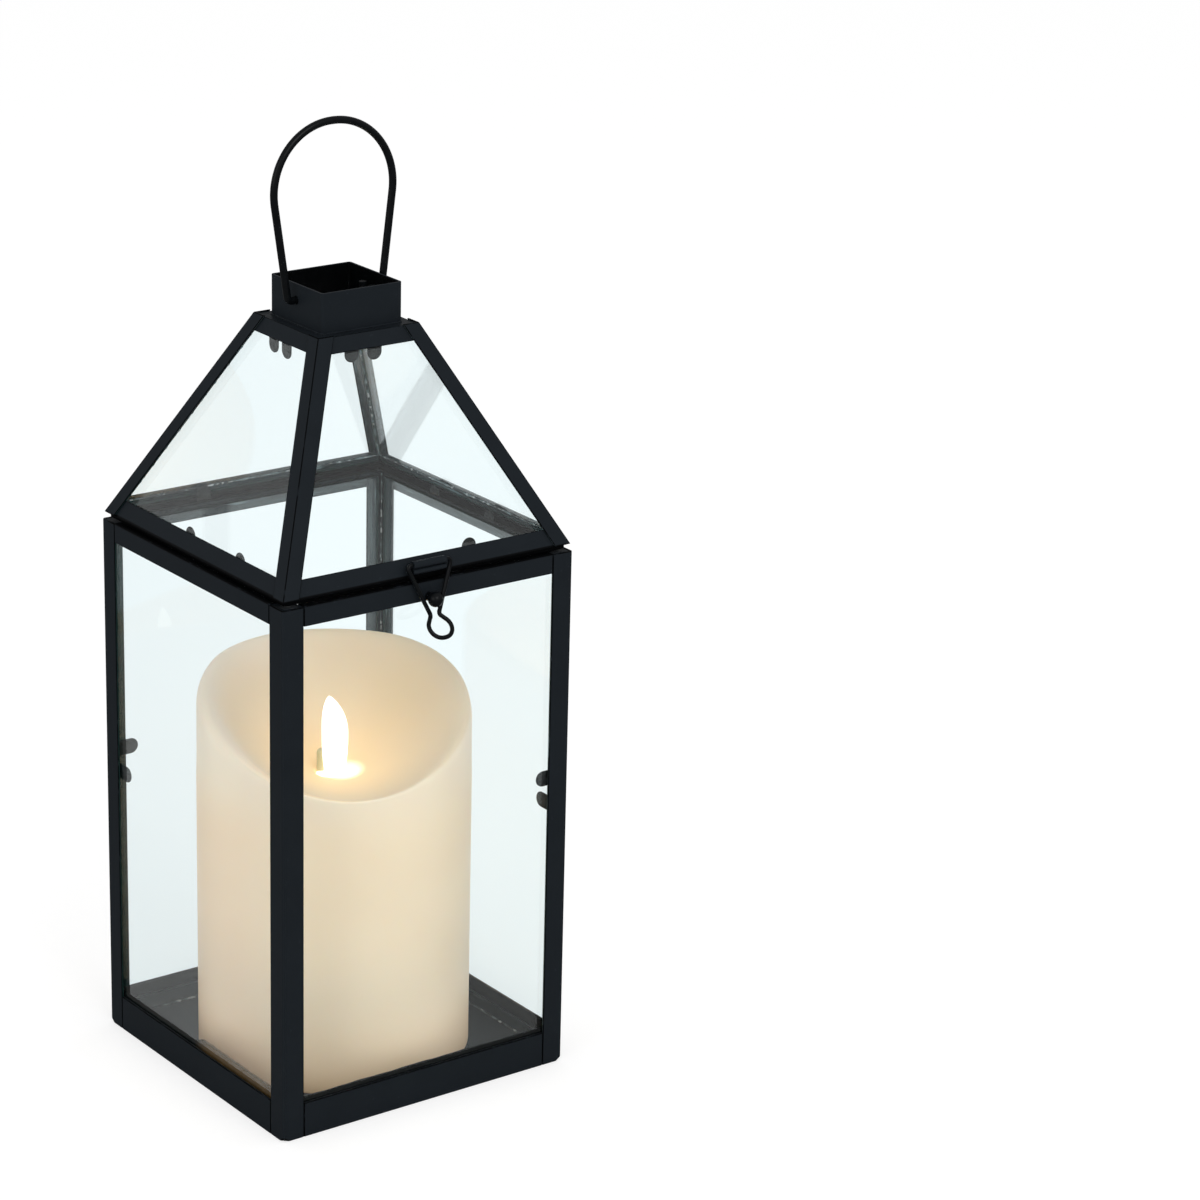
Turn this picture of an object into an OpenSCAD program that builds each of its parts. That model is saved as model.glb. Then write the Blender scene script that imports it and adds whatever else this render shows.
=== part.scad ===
// Square candle lantern with a hinged pyramid roof, a wire bail, a wire latch and a
// flameless pillar candle. Millimetres. Origin at the middle of the base, +Z up,
// latch on the front (-Y), hinges on the back (+Y), bail pivots along X.

/* [Body] */
// Outer width and depth across the corner posts
body_w = 125; // [120:1:150]
// Height of the posts, from the table to the top of the body
body_h = 205.5; // [170:0.5:250]
// Thickness of the folded frame sheet
sheet_t = 1.0; // [0.7:0.1:1.1]
// Width of each flange of a corner post
post_flange = 8.8; // [7.5:0.1:11]
// Height of the four base rails
base_rail_h = 13.6; // [10:0.1:18]
// Height of the four rails at the top of the body
top_rail_h = 7.7; // [7.2:0.1:12]
// Width of the ledge folded inwards at the top of the body
top_ledge = 4.5; // [3:0.1:4.8]
// Cut at the foot of each post's fold
foot_chamfer = 1.8; // [0.5:0.1:3]

/* [Glass] */
// Thickness of the panes
glass_t = 2.0; // [1.5:0.1:2.2]
// Width of the solder tabs that hold the panes
tab_w = 6.0; // [4:0.5:8]
// Thickness of the solder tabs
tab_t = 0.6; // [0.4:0.1:0.7]
// Reach of a side tab from the outer corner of its post
side_tab_reach = 13; // [11:0.5:18]

/* [Lid] */
// Distance of the roof's lower edge inside the faces of the body
lid_inset = 0.9; // [0.7:0.1:3]
// Gap between the body and the roof's lower edge
lid_gap = 2.2; // [1.8:0.1:3]
// Rise of the roof from its lower edge to its top
roof_rise = 79.6; // [60:0.5:100]
// Width of the flat ring around the chimney
cap_ledge = 4.35; // [3.5:0.05:8]
// Width of the lower rails, up the slope
lid_rail_w = 7.0; // [6:0.1:10]
// Width of the hip angles' flanges, along the rail
hip_w = 6.5; // [5.5:0.1:9]
// Depth of the skirt below the roof's top, down the slope
cap_skirt = 5.8; // [4.5:0.1:9]

/* [Chimney] */
// Half width of the square collar
collar_half = 17.15; // [13.5:0.05:21]
// Height of the collar above the roof's top
collar_h = 15.1; // [13.5:0.1:20]
// Thickness of the collar's wall
collar_t = 0.8; // [0.6:0.1:1]
// Outer radius of the collar's corners
collar_corner = 1.2; // [1:0.1:2]

/* [Bail] */
// Radius of the bail's wire
bail_r = 1.4; // [1.1:0.1:1.7]
// Radius of the bail's round top
bail_arch_r = 25.2; // [24.6:0.1:30]
// Height of the round top's centre above the pivot
bail_rise = 38.2; // [32:0.1:60]
// Distance from the collar to the middle of each leg at its foot
bail_foot_gap = 2.93; // [2.8:0.01:3.5]
// Lean of the bail towards the back at rest
bail_lean = 1.4; // [0:0.1:5]
// Sideways place of the bail in its two holes
bail_shift = -0.5; // [-0.6:0.1:0.6]
// Height of the pivot holes above the roof's top
bail_pivot_up = 9.0; // [8:0.1:10.5]

/* [Latch] */
// Sideways place of the latch and its knob
latch_x = -1.0; // [-20:0.1:20]
// Radius of the latch's wire
latch_wire_r = 0.8; // [0.6:0.05:0.85]
// Half width of the loop at its pivot
latch_half = 9.7; // [8.5:0.1:12]
// Half width of the loop at its neck, between wire centres
latch_neck_half = 1.7; // [1.4:0.05:2.2]
// Distance from the middle of the knob down to the neck
latch_neck_drop = 5.6; // [5:0.1:8]
// Radius of the finger loop below the neck
latch_loop_r = 4.4; // [3.5:0.1:5.5]
// Radius of the ball knob
knob_r = 2.8; // [2.3:0.1:2.8]
// Height of the knob's centre above the lower edge of its rail
knob_up = 1.6; // [1:0.1:2.2]
// Distance of the knob's centre from the rail's face
knob_out = 4.2; // [3:0.1:5]

/* [Hinge] */
// Distance of each hinge from the middle
hinge_x = 32; // [18:1:42]
// Length of each hinge
hinge_len = 18; // [12:1:26]
// Radius of the hinge pins
hinge_pin_r = 0.9; // [0.7:0.05:0.95]

/* [Candle] */
// Diameter of the wax pillar
candle_d = 102; // [90:1:110]
// Height of the candle, from its feet to the back of its rim
candle_h = 150; // [125:1:180]
// Drop of the melted rim, from back to front
scoop_drop = 31.5; // [15:0.5:33]
// Depth of the hollow's floor below the front of its rim
scoop_depth = 8.5; // [5:0.5:14]
// Turn of the candle about the vertical
candle_turn = -23; // [-180:1:180]
// Height of the flame above the hollow's floor
flame_h = 31; // [22:0.5:36]
// Width of the flame
flame_w = 10.4; // [8:0.1:12]
// Diameter of the cells
cell_d = 14.5; // [14:0.1:14.5]
// Length of the cells, with their nubs
cell_len = 50.5; // [49:0.5:50.5]

/* [Hidden] */

$fn = 64;

front = 0;
right = 1;
back = 2;
left = 3;

frame_colour = [0.07, 0.07, 0.08];
glass_colour = [0.85, 0.93, 0.97, 0.35];
tab_colour = [0.25, 0.26, 0.27];
wax_colour = [0.93, 0.86, 0.72];
plastic_colour = [0.92, 0.88, 0.78];
steel_colour = [0.7, 0.7, 0.7];
black_colour = [0.11, 0.11, 0.11];
cell_colour = [0.16, 0.3, 0.5];
board_colour = [0.1, 0.4, 0.2];
copper_colour = [0.72, 0.4, 0.2];
lamp_colour = [1, 0.95, 0.8];
flame_colour = [1, 0.97, 0.9];
magnet_colour = [0.6, 0.6, 0.62];

// Clearances shared by the pieces
eps = 0.01;            // overlap that joins two shapes of one solid
seam = 0.15;           // half of the line between a post and a rail
mitre_gap = 0.1;       // gap on each side of a mitre
glass_gap = 0.1;       // gap between a pane and the sheet in front of it
pin_clear = 0.05;      // radial running fit of a wire or pin in its hole
edge_gap = 0.8;        // gap between the edge of a side pane and the tabs round the corner
seat_gap = 0.3;        // gap between pieces of two bodies that rest on each other
touch = 0.05;          // gap between pieces that press on each other

// Body
half = body_w / 2;
post_short = 0.4;      // the posts end this far below the rails' top
tongue_len = 9;
tongue_in = 5;
tongue_t = 0.8;
tongue_gap = 0.2;
pane_out = half - sheet_t - glass_gap;
pane_in = pane_out - glass_t;
pane_half = pane_in - tab_t - edge_gap;
pane_z0 = 8.2;
pane_z1 = body_h - 3.7;
tongue_top = pane_z0 - tongue_gap;
ledge_tongue_z0 = pane_z1 + tongue_gap;

// Side tabs: heights on the two posts that carry them, [one flange, other flange]
tabs_left = [112.7, 106.3];
tabs_right = [117, 103];

// Lid
lid_half = half - lid_inset;
roof_top_half = collar_half + cap_ledge;
lid_z = body_h + lid_gap;
slope = atan2(roof_rise, lid_half - roof_top_half);
slope_len = norm([roof_rise, lid_half - roof_top_half]);
roof_top = lid_z + roof_rise;
hip_out = 0.3;         // hip angles stand this far out of the roof planes
hip_t = 0.8;
rail_out = hip_out - hip_t;
rail_in = rail_out - hip_t;
hip_top_up = 0.5;
web_out = lid_half - 1.4;
web_t = 1.0;
lid_flange_in = web_out - 5.7;
lid_flange_t = 1.0;
lid_flange_z = body_h + seat_gap;
roof_pane_out = rail_in - glass_gap;
roof_pane_in = roof_pane_out - glass_t;
roof_pane_v0 = 3.0;
roof_pane_v1 = slope_len - 2.4;
roof_pane_side = -roof_pane_in * sin(slope) + 0.45;
upper_tab_pitch = 8.6;
upper_tab_end = cap_skirt + 5.9;
upper_tab_shift = [-3, 1, 2, 0];
lower_tab_u = [[-15, 21], [-20, 16], [-18, 20], [-10.4, 23.8]];
far = 200;

// Wires
joint_gap = 0.05;      // straight lengths of a wire end this far from its bends
sleeve_len = 0.3;
sleeve_t = 0.03;
flat_len = 0.8;        // straight length between two bends that make one round

// Bail
pivot_z = roof_top + bail_pivot_up;
bail_bend_r = 2.0;
bail_tip_x = collar_half - collar_t - 4.35;
bail_tip_r = 2;
bail_tip_up = 3.2;
bail_foot_x = collar_half + bail_foot_gap;
bail_splay = atan2(bail_rise, bail_foot_x)
             - acos(bail_arch_r / norm([bail_foot_x, bail_rise]));

// Latch
latch_axis_in = 0.2;
latch_axis_y = -half + latch_axis_in;
latch_axis_z = lid_z + 4.5;
knob_z = body_h - top_rail_h + knob_up;
knob_drop = latch_axis_z - knob_z;
latch_behind = 1.63;   // the legs pass this far behind the middle of the knob
latch_tilt = atan2(knob_out - latch_behind + latch_axis_in, knob_drop);
latch_len = knob_drop * cos(latch_tilt)
            + (knob_out + latch_axis_in) * sin(latch_tilt) + latch_neck_drop;
latch_tail_bend = 33;
latch_tail_flare = 38;
latch_elbow_r = 1.4;
latch_neck_r = 1.4;
knob_stem_r = 1.7;
barrel_r = latch_wire_r + pin_clear + 0.55;
barrel_half = latch_half - 2.7;
barrel_lip_r = 0.9;

// Hinge
hinge_y = half + 1.8;
hinge_z = body_h + lid_gap / 2;
hinge_third = hinge_len / 3;
pin_end = 0.4;         // the pins stand out this far at both ends
knuckle_r = hinge_pin_r + pin_clear + 0.75;
knuckle_gap = 0.15;
leaf_t = 0.6;
leaf_drop = 6.5;
leaf_climb = 6.0;
arm_t = 0.7;

// Candle
candle_r = candle_d / 2;
candle_z = sheet_t;
wax_z = candle_z + 0.8;
wax_wall = 4.8;
wax_gap = 0.2;
scoop_z = candle_z + candle_h - scoop_drop - scoop_depth;
bore_top = scoop_z - 23;
rings = 12;
slices = 48;
base_r = candle_r - wax_wall - wax_gap;
foot_w = 2.5;
foot_h = 3.5;
base_t = 1.6;
base_wall = 1.5;
base_wall_h = 21;
plate_z = candle_z + foot_h;
deck_z = plate_z + base_t;
box_wall = 1.5;
box_in_x = (cell_len + 7.9) / 2;
box_in_y = cell_d + 1.5;
box_in_h = cell_d + 2;
cell_y = cell_d / 2 + 0.45;
cell_z = deck_z + 0.5 + cell_d / 2;
cell_nub = 1.4;
cell_nub_r = 2.7;
bay_x = box_in_x - 1.5;
bay_y = box_in_y - 0.9;
door_gap = 0.4;
door_t = 1.3;
door_x = box_in_x + 0.5;
door_y = box_in_y + 1.5;
contact_t = 0.4;
contact_w = 9;
cell_shift = box_in_x - contact_t - touch - cell_len / 2;
spring_r = [4.2, 2.6];
spring_turns = 3;
spring_wire_r = 0.45;
box_top = deck_z + box_in_h + box_wall;
board_z = box_top + 2;
board_t = 1.6;
board_top = board_z + board_t;
board_x = 12.5;
board_y = 8.5;
board_hole_r = 1.1;
chip = [6, 5, 1.6];
capacitor_x = 5.5;
capacitor_r = 2;
capacitor_h = 6;
transistor = [2, 2, 1.2];
transistor_x = -7.5;
screw_x = 9.6;
screw_y = 5.6;
screw_r = 0.8;
screw_head_r = 1.9;
screw_head_h = 1.1;
screw_bite = 1.6;
boss_r = 2;
boss_hole_r = 0.9;
boss_floor = 0.3;
core_r = 17;
core_wall = 1.6;
neck_r = 11;
core_step_z = board_top + 22.3;
housing_z = scoop_z - 27;
housing_r = 9.4;
housing_wall = 1.4;
housing_floor = 1.2;
housing_top = scoop_z - 3;
spool_z = housing_z + housing_floor;
spool_r = 2;
spool_h = 6;
spool_flange_r = 5;
spool_flange_t = 0.7;
coil_r = 4.6;
flame_pivot_z = scoop_z - 6;
flame_t = 1.6;
flame_lean = 2.2;
flame_belly = 0.42;    // share of the flame's height at which it is widest
flame_foot = 0.72;     // share of its width at its foot
flame_steps = 12;
slot_half = 4;
slot_r = 4.2;
stem_w = 4;
stem_z = flame_pivot_z - 8;
magnet_r = 2.5;
magnet_h = 2;
wire_r = 0.4;
led_r = 1.9;
led_gap = 0.3;
led_at = [-5.0, 3.3];
led_z0 = scoop_z - 6;
led_top = scoop_z + 9;
lead_r = 0.25;
lead_half = 0.8;
switch_y = base_r - base_wall - 14.5;
switch_travel = 3;
switch_x = 10;
switch_half_y = 5;
switch_h = 5;
switch_wall = 1.4;
slider_x = 3;
slider_y = 1.4;
slider_gap = 0.3;
slider_deck_gap = 0.2;
slider_shoe = 1.5;     // the slider's shoe reaches this far past its button
slider_shoe_t = 1;

function unit(v) = v / norm(v);

// A point of the roof's slope in the plane across the rail: v up the slope, n out of it
function slope_point(v, n) = [
  -lid_half + v * cos(slope) - n * sin(slope),
  lid_z + v * sin(slope) + n * cos(slope)
];
// The place up the slope where depth n lies at distance d from the middle
function slope_v(d, n) = (lid_half - d + n * sin(slope)) / cos(slope);
// The place up the slope where depth n lies at height z
function slope_rise_v(z, n) = (z - lid_z - n * cos(slope)) / sin(slope);

// Height of the wax rim, and of the hollow, at turn a from the front
function rim_z(a) = candle_z + candle_h - scoop_drop * pow(cos(a / 2), 4);
function hollow_z(r, a) = scoop_z + (rim_z(a) - scoop_z) * pow(r / candle_r, 2);

// Turns its children from the front side to side k
module on_side(k) {
  rotate([0, 0, 90 * k]) children();
}

// Lays its children on the roof plane of side k: x along the rail, y up, z out
module on_slope(k) {
  on_side(k) translate([0, -lid_half, lid_z]) rotate([slope, 0, 0]) children();
}

// Extrudes a (y, z) outline along X, from x0 to x1
module along_x(x0, x1) {
  translate([x0, 0, 0]) rotate([90, 0, 90]) linear_extrude(x1 - x0) children();
}

// The quarter of space in front of both diagonals, between two heights
module front_wedge(z0, z1, gap = 0) {
  translate([0, -gap, z0]) linear_extrude(z1 - z0)
    polygon([[0, 0], [-far, -far], [far, -far]]);
}

// Square with true arcs at its corners
module round_square(h, r) {
  square([2 * h, 2 * (h - r)], center = true);
  square([2 * (h - r), 2 * h], center = true);
  for (x = [-1, 1], y = [-1, 1])
    translate([x * (h - r), y * (h - r)]) circle(r);
}

// Moves the origin to a point and turns +Z along a unit vector
module along(point, dir) {
  translate(point) rotate([0, acos(dir[2]), atan2(dir[1], dir[0])]) children();
}

// Round wire through corner points, with a bend of its own radius at each corner.
// Thin sleeves close the joints between its straight and bent lengths.
module wire_path(points, bends, r, closed = false) {
  n = len(points);
  is_end = function (i) !closed && (i == 0 || i == n - 1);
  heading = function (i) unit(points[(i + 1) % n] - points[i]);
  turn = function (i) acos(heading((i + n - 1) % n) * heading(i));
  cut = function (i) is_end(i) ? 0 : bends[i] * tan(turn(i) / 2);
  for (i = [0 : closed ? n - 1 : n - 2]) {
    next = (i + 1) % n;
    start_gap = is_end(i) ? 0 : joint_gap;
    end_gap = is_end(next) ? 0 : joint_gap;
    run = norm(points[next] - points[i]) - cut(i) - cut(next);
    along(points[i] + heading(i) * (cut(i) + start_gap), heading(i))
      cylinder(h = run - start_gap - end_gap, r = r);
  }
  for (i = [0 : n - 1]) if (!is_end(i)) {
    come = heading((i + n - 1) % n);
    go = heading(i);
    inward = unit(go - (come * go) * come);
    start = points[i] - come * cut(i);
    centre = start + inward * bends[i];
    up = cross(-inward, come);
    multmatrix([
      [-inward[0], come[0], up[0], centre[0]],
      [-inward[1], come[1], up[1], centre[1]],
      [-inward[2], come[2], up[2], centre[2]]
    ]) rotate_extrude(angle = turn(i)) translate([bends[i], 0]) circle(r);
    along(start, come) cylinder(h = sleeve_len, r = r + sleeve_t, center = true);
    along(points[i] + go * cut(i), go)
      cylinder(h = sleeve_len, r = r + sleeve_t, center = true);
  }
}

// Strip with one round end, from the origin along +Y
module tab_outline(len) {
  translate([-tab_w / 2, 0]) square([tab_w, len - tab_w / 2]);
  translate([0, len - tab_w / 2]) circle(tab_w / 2);
}

// ---- Body ----

module floor_pan() {
  color(frame_colour)
    translate([-half + sheet_t, -half + sheet_t, 0])
      cube([body_w - 2 * sheet_t, body_w - 2 * sheet_t, sheet_t]);
}

// Tongues that reach behind the flanges of the two posts
module rail_tongues(z0, z1) {
  for (side = [-1, 1])
    translate([side * (half - post_flange + tongue_in - tongue_len / 2) - tongue_len / 2,
               -half + sheet_t, z0])
      cube([tongue_len, tongue_t, z1 - z0]);
}

module base_rail(k) {
  run = half - post_flange - seam;
  color(frame_colour) on_side(k) {
    translate([-run, -half, 0]) cube([2 * run, sheet_t, base_rail_h]);
    rail_tongues(sheet_t + tongue_gap, tongue_top);
  }
}

// Angle post, its fold at the front left corner before it is turned
module post(k) {
  color(frame_colour) on_side(k) translate([-half, -half, 0]) difference() {
    linear_extrude(body_h - post_short) {
      translate([sheet_t, 0]) square([post_flange - sheet_t, sheet_t]);
      translate([0, sheet_t]) square([sheet_t, post_flange - sheet_t]);
      intersection() {
        translate([sheet_t, sheet_t]) circle(sheet_t);
        square(sheet_t);
      }
    }
    rotate([0, 0, 45]) rotate([0, 45, 0])
      cube([foot_chamfer * sqrt(2), 4 * sheet_t, foot_chamfer * sqrt(2)], center = true);
  }
}

module top_rail(k) {
  run = half - post_flange - seam;
  color(frame_colour) on_side(k) {
    translate([-run, -half, body_h - top_rail_h]) cube([2 * run, sheet_t, top_rail_h]);
    translate([-run, -half, body_h - sheet_t]) cube([2 * run, top_ledge, sheet_t]);
    rail_tongues(ledge_tongue_z0, body_h - sheet_t);
  }
}

module side_glass(k) {
  color(glass_colour) on_side(k)
    translate([-pane_half, -pane_out, pane_z0])
      cube([2 * pane_half, glass_t, pane_z1 - pane_z0]);
}

// Tab across the inside of the front pane, from the post at the front left corner
module side_tab(z) {
  translate([-half + sheet_t, -pane_in + tab_t, z])
    rotate([90, 0, 0]) linear_extrude(tab_t)
      rotate([0, 0, -90]) tab_outline(side_tab_reach - sheet_t);
}

module side_glass_tabs() {
  color(tab_colour) {
    on_side(left) side_tab(tabs_left[1]);
    on_side(left) mirror([1, -1, 0]) side_tab(tabs_left[0]);
    on_side(right) side_tab(tabs_right[1]);
    on_side(right) mirror([1, -1, 0]) side_tab(tabs_right[0]);
  }
}

module latch_knob() {
  color(frame_colour)
    translate([latch_x, -half, knob_z]) {
      translate([0, -knob_out, 0]) sphere(knob_r);
      rotate([90, 0, 0]) cylinder(h = knob_out, r = knob_stem_r);
    }
}

// ---- Hinges ----

module hinge_leaf_body() {
  knuckle_half = hinge_third / 2 - knuckle_gap;
  color(frame_colour) for (side = [-1, 1]) translate([side * hinge_x, 0, 0]) difference() {
    union() {
      translate([-hinge_len / 2, half, hinge_z - leaf_drop])
        cube([hinge_len, leaf_t, leaf_drop - knuckle_r]);
      for (end = [-1, 1]) translate([end * hinge_third, 0, 0]) {
        along_x(-knuckle_half, knuckle_half) {
          translate([half, hinge_z - knuckle_r]) square([leaf_t, knuckle_r]);
          translate([hinge_y, hinge_z]) circle(knuckle_r);
        }
      }
    }
    along_x(-hinge_len, hinge_len) translate([hinge_y, hinge_z])
      circle(hinge_pin_r + pin_clear);
  }
}

module hinge_leaf_lid() {
  knuckle_half = hinge_third / 2 - knuckle_gap;
  arm_z = [hinge_z + knuckle_r - arm_t, hinge_z + knuckle_r];
  color(frame_colour) for (side = [-1, 1]) translate([side * hinge_x, 0, 0]) difference() {
    union() {
      on_slope(back) translate([-hinge_len / 2, slope_rise_v(arm_z[0], rail_out), rail_out])
        cube([hinge_len, leaf_climb, leaf_t]);
      on_side(back) along_x(-knuckle_half, knuckle_half) {
        polygon([
          slope_point(slope_rise_v(arm_z[0], rail_out), rail_out),
          slope_point(slope_rise_v(arm_z[1], rail_out), rail_out),
          [-hinge_y, arm_z[1]], [-hinge_y, arm_z[0]]
        ]);
        translate([-hinge_y, hinge_z]) circle(knuckle_r);
      }
    }
    along_x(-hinge_len, hinge_len) translate([hinge_y, hinge_z])
      circle(hinge_pin_r + pin_clear);
  }
}

module hinge_pins() {
  pin_half = hinge_len / 2 + pin_end;
  color(steel_colour) for (side = [-1, 1])
    along_x(side * hinge_x - pin_half, side * hinge_x + pin_half)
      translate([hinge_y, hinge_z]) circle(hinge_pin_r);
}

// ---- Lid ----

// Sloping strip, web and inward flange, folded from one sheet
module lid_rail(k) {
  web_in = web_out - web_t;
  web_top = slope_point(slope_v(web_in, rail_in), rail_in)[1];
  notch_top = slope_point(slope_v(web_out, rail_in), rail_in)[1];
  color(frame_colour) on_side(k) intersection() {
    along_x(-half, half) polygon([
      slope_point(0, rail_out), slope_point(lid_rail_w, rail_out),
      slope_point(lid_rail_w, rail_in), [-web_in, web_top],
      [-web_in, lid_flange_z + lid_flange_t], [-lid_flange_in, lid_flange_z + lid_flange_t],
      [-lid_flange_in, lid_flange_z], [-web_out, lid_flange_z],
      [-web_out, notch_top], slope_point(0, rail_in)
    ]);
    front_wedge(body_h, roof_top, mitre_gap);
  }
}

// One flange of a hip: side = 1 lies at the right end of side k, -1 at the left
module hip_flange(k, side) {
  over = 4;
  intersection() {
    on_slope(k) translate([0, -over, hip_out - hip_t]) linear_extrude(hip_t) {
      run = over * cos(slope);
      polygon([
        [side * (lid_half + run + over), 0], [side * (lid_half + run - hip_w), 0],
        [side * (roof_top_half - run - hip_w), slope_len + 2 * over],
        [side * (roof_top_half - run + over), slope_len + 2 * over]
      ]);
    }
    on_side(k) front_wedge(lid_z, roof_top + hip_top_up);
  }
}

// Hip angle between side k and the next side
module hip(k) {
  color(frame_colour) {
    hip_flange(k, 1);
    hip_flange(k + 1, -1);
  }
}

// Flat ring around the chimney with a skirt folded down on all four sides
module roof_cap() {
  ring_half = -slope_point(slope_len, rail_out)[0];
  color(frame_colour) difference() {
    union() {
      for (k = [0 : 3]) intersection() {
        on_slope(k) translate([-half, slope_len - cap_skirt, rail_in])
          cube([body_w, 2 * cap_skirt, rail_out - rail_in]);
        on_side(k) front_wedge(lid_z, roof_top);
      }
      translate([-ring_half, -ring_half, roof_top - hip_t])
        cube([2 * ring_half, 2 * ring_half, hip_t]);
    }
    translate([0, 0, roof_top - 2 * hip_t]) linear_extrude(3 * hip_t)
      round_square(collar_half - collar_t, collar_corner - collar_t / 2);
  }
}

module chimney_collar() {
  color(frame_colour) difference() {
    translate([0, 0, roof_top]) linear_extrude(collar_h) difference() {
      round_square(collar_half, collar_corner);
      round_square(collar_half - collar_t, collar_corner - collar_t / 2);
    }
    along_x(-body_w, body_w) translate([0, pivot_z]) circle(bail_r + pin_clear);
  }
}

module roof_glass(k) {
  bottom_half = lid_half - roof_pane_v0 * cos(slope) - roof_pane_side;
  top_half = lid_half - roof_pane_v1 * cos(slope) - roof_pane_side;
  color(glass_colour) on_slope(k) translate([0, 0, roof_pane_in]) linear_extrude(glass_t)
    polygon([
      [-bottom_half, roof_pane_v0], [bottom_half, roof_pane_v0],
      [top_half, roof_pane_v1], [-top_half, roof_pane_v1]
    ]);
}

// Tabs inside the roof panes: two hang from the cap, two stand on the rail's flange
module roof_glass_tabs() {
  hang_v = slope_rise_v(roof_top - hip_t, roof_pane_in);
  hang_len = hang_v - (slope_len - upper_tab_end);
  stand_v = slope_rise_v(lid_flange_z + lid_flange_t + touch, roof_pane_in - tab_t);
  color(tab_colour) for (k = [0 : 3]) on_slope(k)
    translate([0, 0, roof_pane_in - tab_t]) linear_extrude(tab_t) {
      for (side = [-1, 1])
        translate([upper_tab_shift[k] + side * upper_tab_pitch / 2, hang_v])
          rotate(180) tab_outline(hang_len);
      for (u = lower_tab_u[k])
        translate([u, stand_v]) tab_outline(lid_rail_w + 0.3 - stand_v);
    }
}

// ---- Latch ----

// Strap soldered to the front rail, rolled into a barrel around the wire above a lip
module latch_bracket() {
  run = [latch_axis_y + lid_half, latch_axis_z - lid_z];
  axis_v = run[0] * cos(slope) + run[1] * sin(slope);
  axis_n = run[1] * cos(slope) - run[0] * sin(slope);
  foot_v = 0.4;
  color(frame_colour) difference() {
    on_slope(front) translate([latch_x - barrel_half, 0, 0]) rotate([90, 0, 90])
      linear_extrude(2 * barrel_half) {
        translate([axis_v - barrel_r, rail_out]) square([2 * barrel_r, axis_n - rail_out]);
        translate([axis_v, axis_n]) circle(barrel_r);
        translate([foot_v, rail_out])
          square([axis_v - foot_v, axis_n - barrel_lip_r - rail_out]);
        translate([foot_v, rail_out])
          square([2 * barrel_lip_r, axis_n - barrel_lip_r - rail_out]);
        translate([foot_v + barrel_lip_r, axis_n - barrel_lip_r]) circle(barrel_lip_r);
      }
    along_x(-half, half) translate([latch_axis_y, latch_axis_z])
      circle(latch_wire_r + pin_clear);
  }
}

// Bar through the barrel, legs that close in to a neck, and a round finger loop bent outwards
module latch_loop() {
  tail_low = latch_loop_r + (latch_loop_r - latch_neck_half * cos(latch_tail_flare))
             / sin(latch_tail_flare);
  tail_x = latch_neck_half + tail_low * tan(latch_tail_flare);
  tail_bend = (tail_x - flat_len / 2) / tan(45 + latch_tail_flare / 2);
  side = [
    [latch_half, 0, 0],
    [latch_neck_half, -latch_len, 0],
    [tail_x, -latch_len - tail_low * cos(latch_tail_bend), tail_low * sin(latch_tail_bend)]
  ];
  other = [for (i = [2 : -1 : 0]) [-side[i][0], side[i][1], side[i][2]]];
  bends = [latch_elbow_r, latch_neck_r, tail_bend, tail_bend, latch_neck_r, latch_elbow_r];
  color(frame_colour) translate([latch_x, latch_axis_y, latch_axis_z])
    rotate([90 - latch_tilt, 0, 0])
      wire_path(concat(side, other), bends, latch_wire_r, closed = true);
}

// ---- Bail ----

// Round top, legs that close in to the collar, and ends that pass its walls and turn up
module bail_handle() {
  top = bail_rise + bail_arch_r;
  top_x = bail_foot_x + top * tan(bail_splay);
  top_bend = (top_x - flat_len / 2) / tan(45 + bail_splay / 2);
  side = [
    [bail_tip_x, bail_tip_up, 0], [bail_tip_x, 0, 0], [bail_foot_x, 0, 0], [top_x, top, 0]
  ];
  other = [for (i = [3 : -1 : 0]) [-side[i][0], side[i][1], 0]];
  bends = [0, bail_tip_r, bail_bend_r, top_bend, top_bend, bail_bend_r, bail_tip_r, 0];
  color(frame_colour) translate([bail_shift, 0, pivot_z]) rotate([90 - bail_lean, 0, 0])
    wire_path(concat(side, other), bends, bail_r);
}

// ---- Candle ----

// Everything above the melted hollow, as one body to cut away
module hollow_cutter() {
  out = candle_r + 3;
  top = candle_z + candle_h + 10;
  radii = [for (i = [1 : rings]) out * i / rings];
  count = len(radii);
  turns = [for (j = [0 : slices - 1]) 360 * j / slices];
  lower = [for (r = radii, a = turns)
           [r * sin(a), -r * cos(a), hollow_z(r, a)]];
  upper = [for (a = turns) [out * sin(a), -out * cos(a), top]];
  points = concat([[0, 0, scoop_z]], lower, upper, [[0, 0, top]]);
  last = len(points) - 1;
  faces = concat(
    [for (j = [0 : slices - 1]) [0, 1 + j, 1 + (j + 1) % slices]],
    [for (i = [0 : count - 1], j = [0 : slices - 1])
      [1 + i * slices + j, 1 + (i + 1) * slices + j, 1 + (i + 1) * slices + (j + 1) % slices]],
    [for (i = [0 : count - 1], j = [0 : slices - 1])
      [1 + i * slices + j, 1 + (i + 1) * slices + (j + 1) % slices,
       1 + i * slices + (j + 1) % slices]],
    [for (j = [0 : slices - 1])
      [last, 1 + count * slices + (j + 1) % slices, 1 + count * slices + j]]
  );
  polyhedron(points = points, faces = faces);
}

// Slot in the hollow's floor for the flame, with room for the lamp beside it
module flame_slot() {
  square([2 * slot_half, 2 * slot_r], center = true);
  for (side = [-1, 1]) translate([side * slot_half, 0]) circle(slot_r);
  translate(led_at) circle(led_r + led_gap);
}

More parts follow.
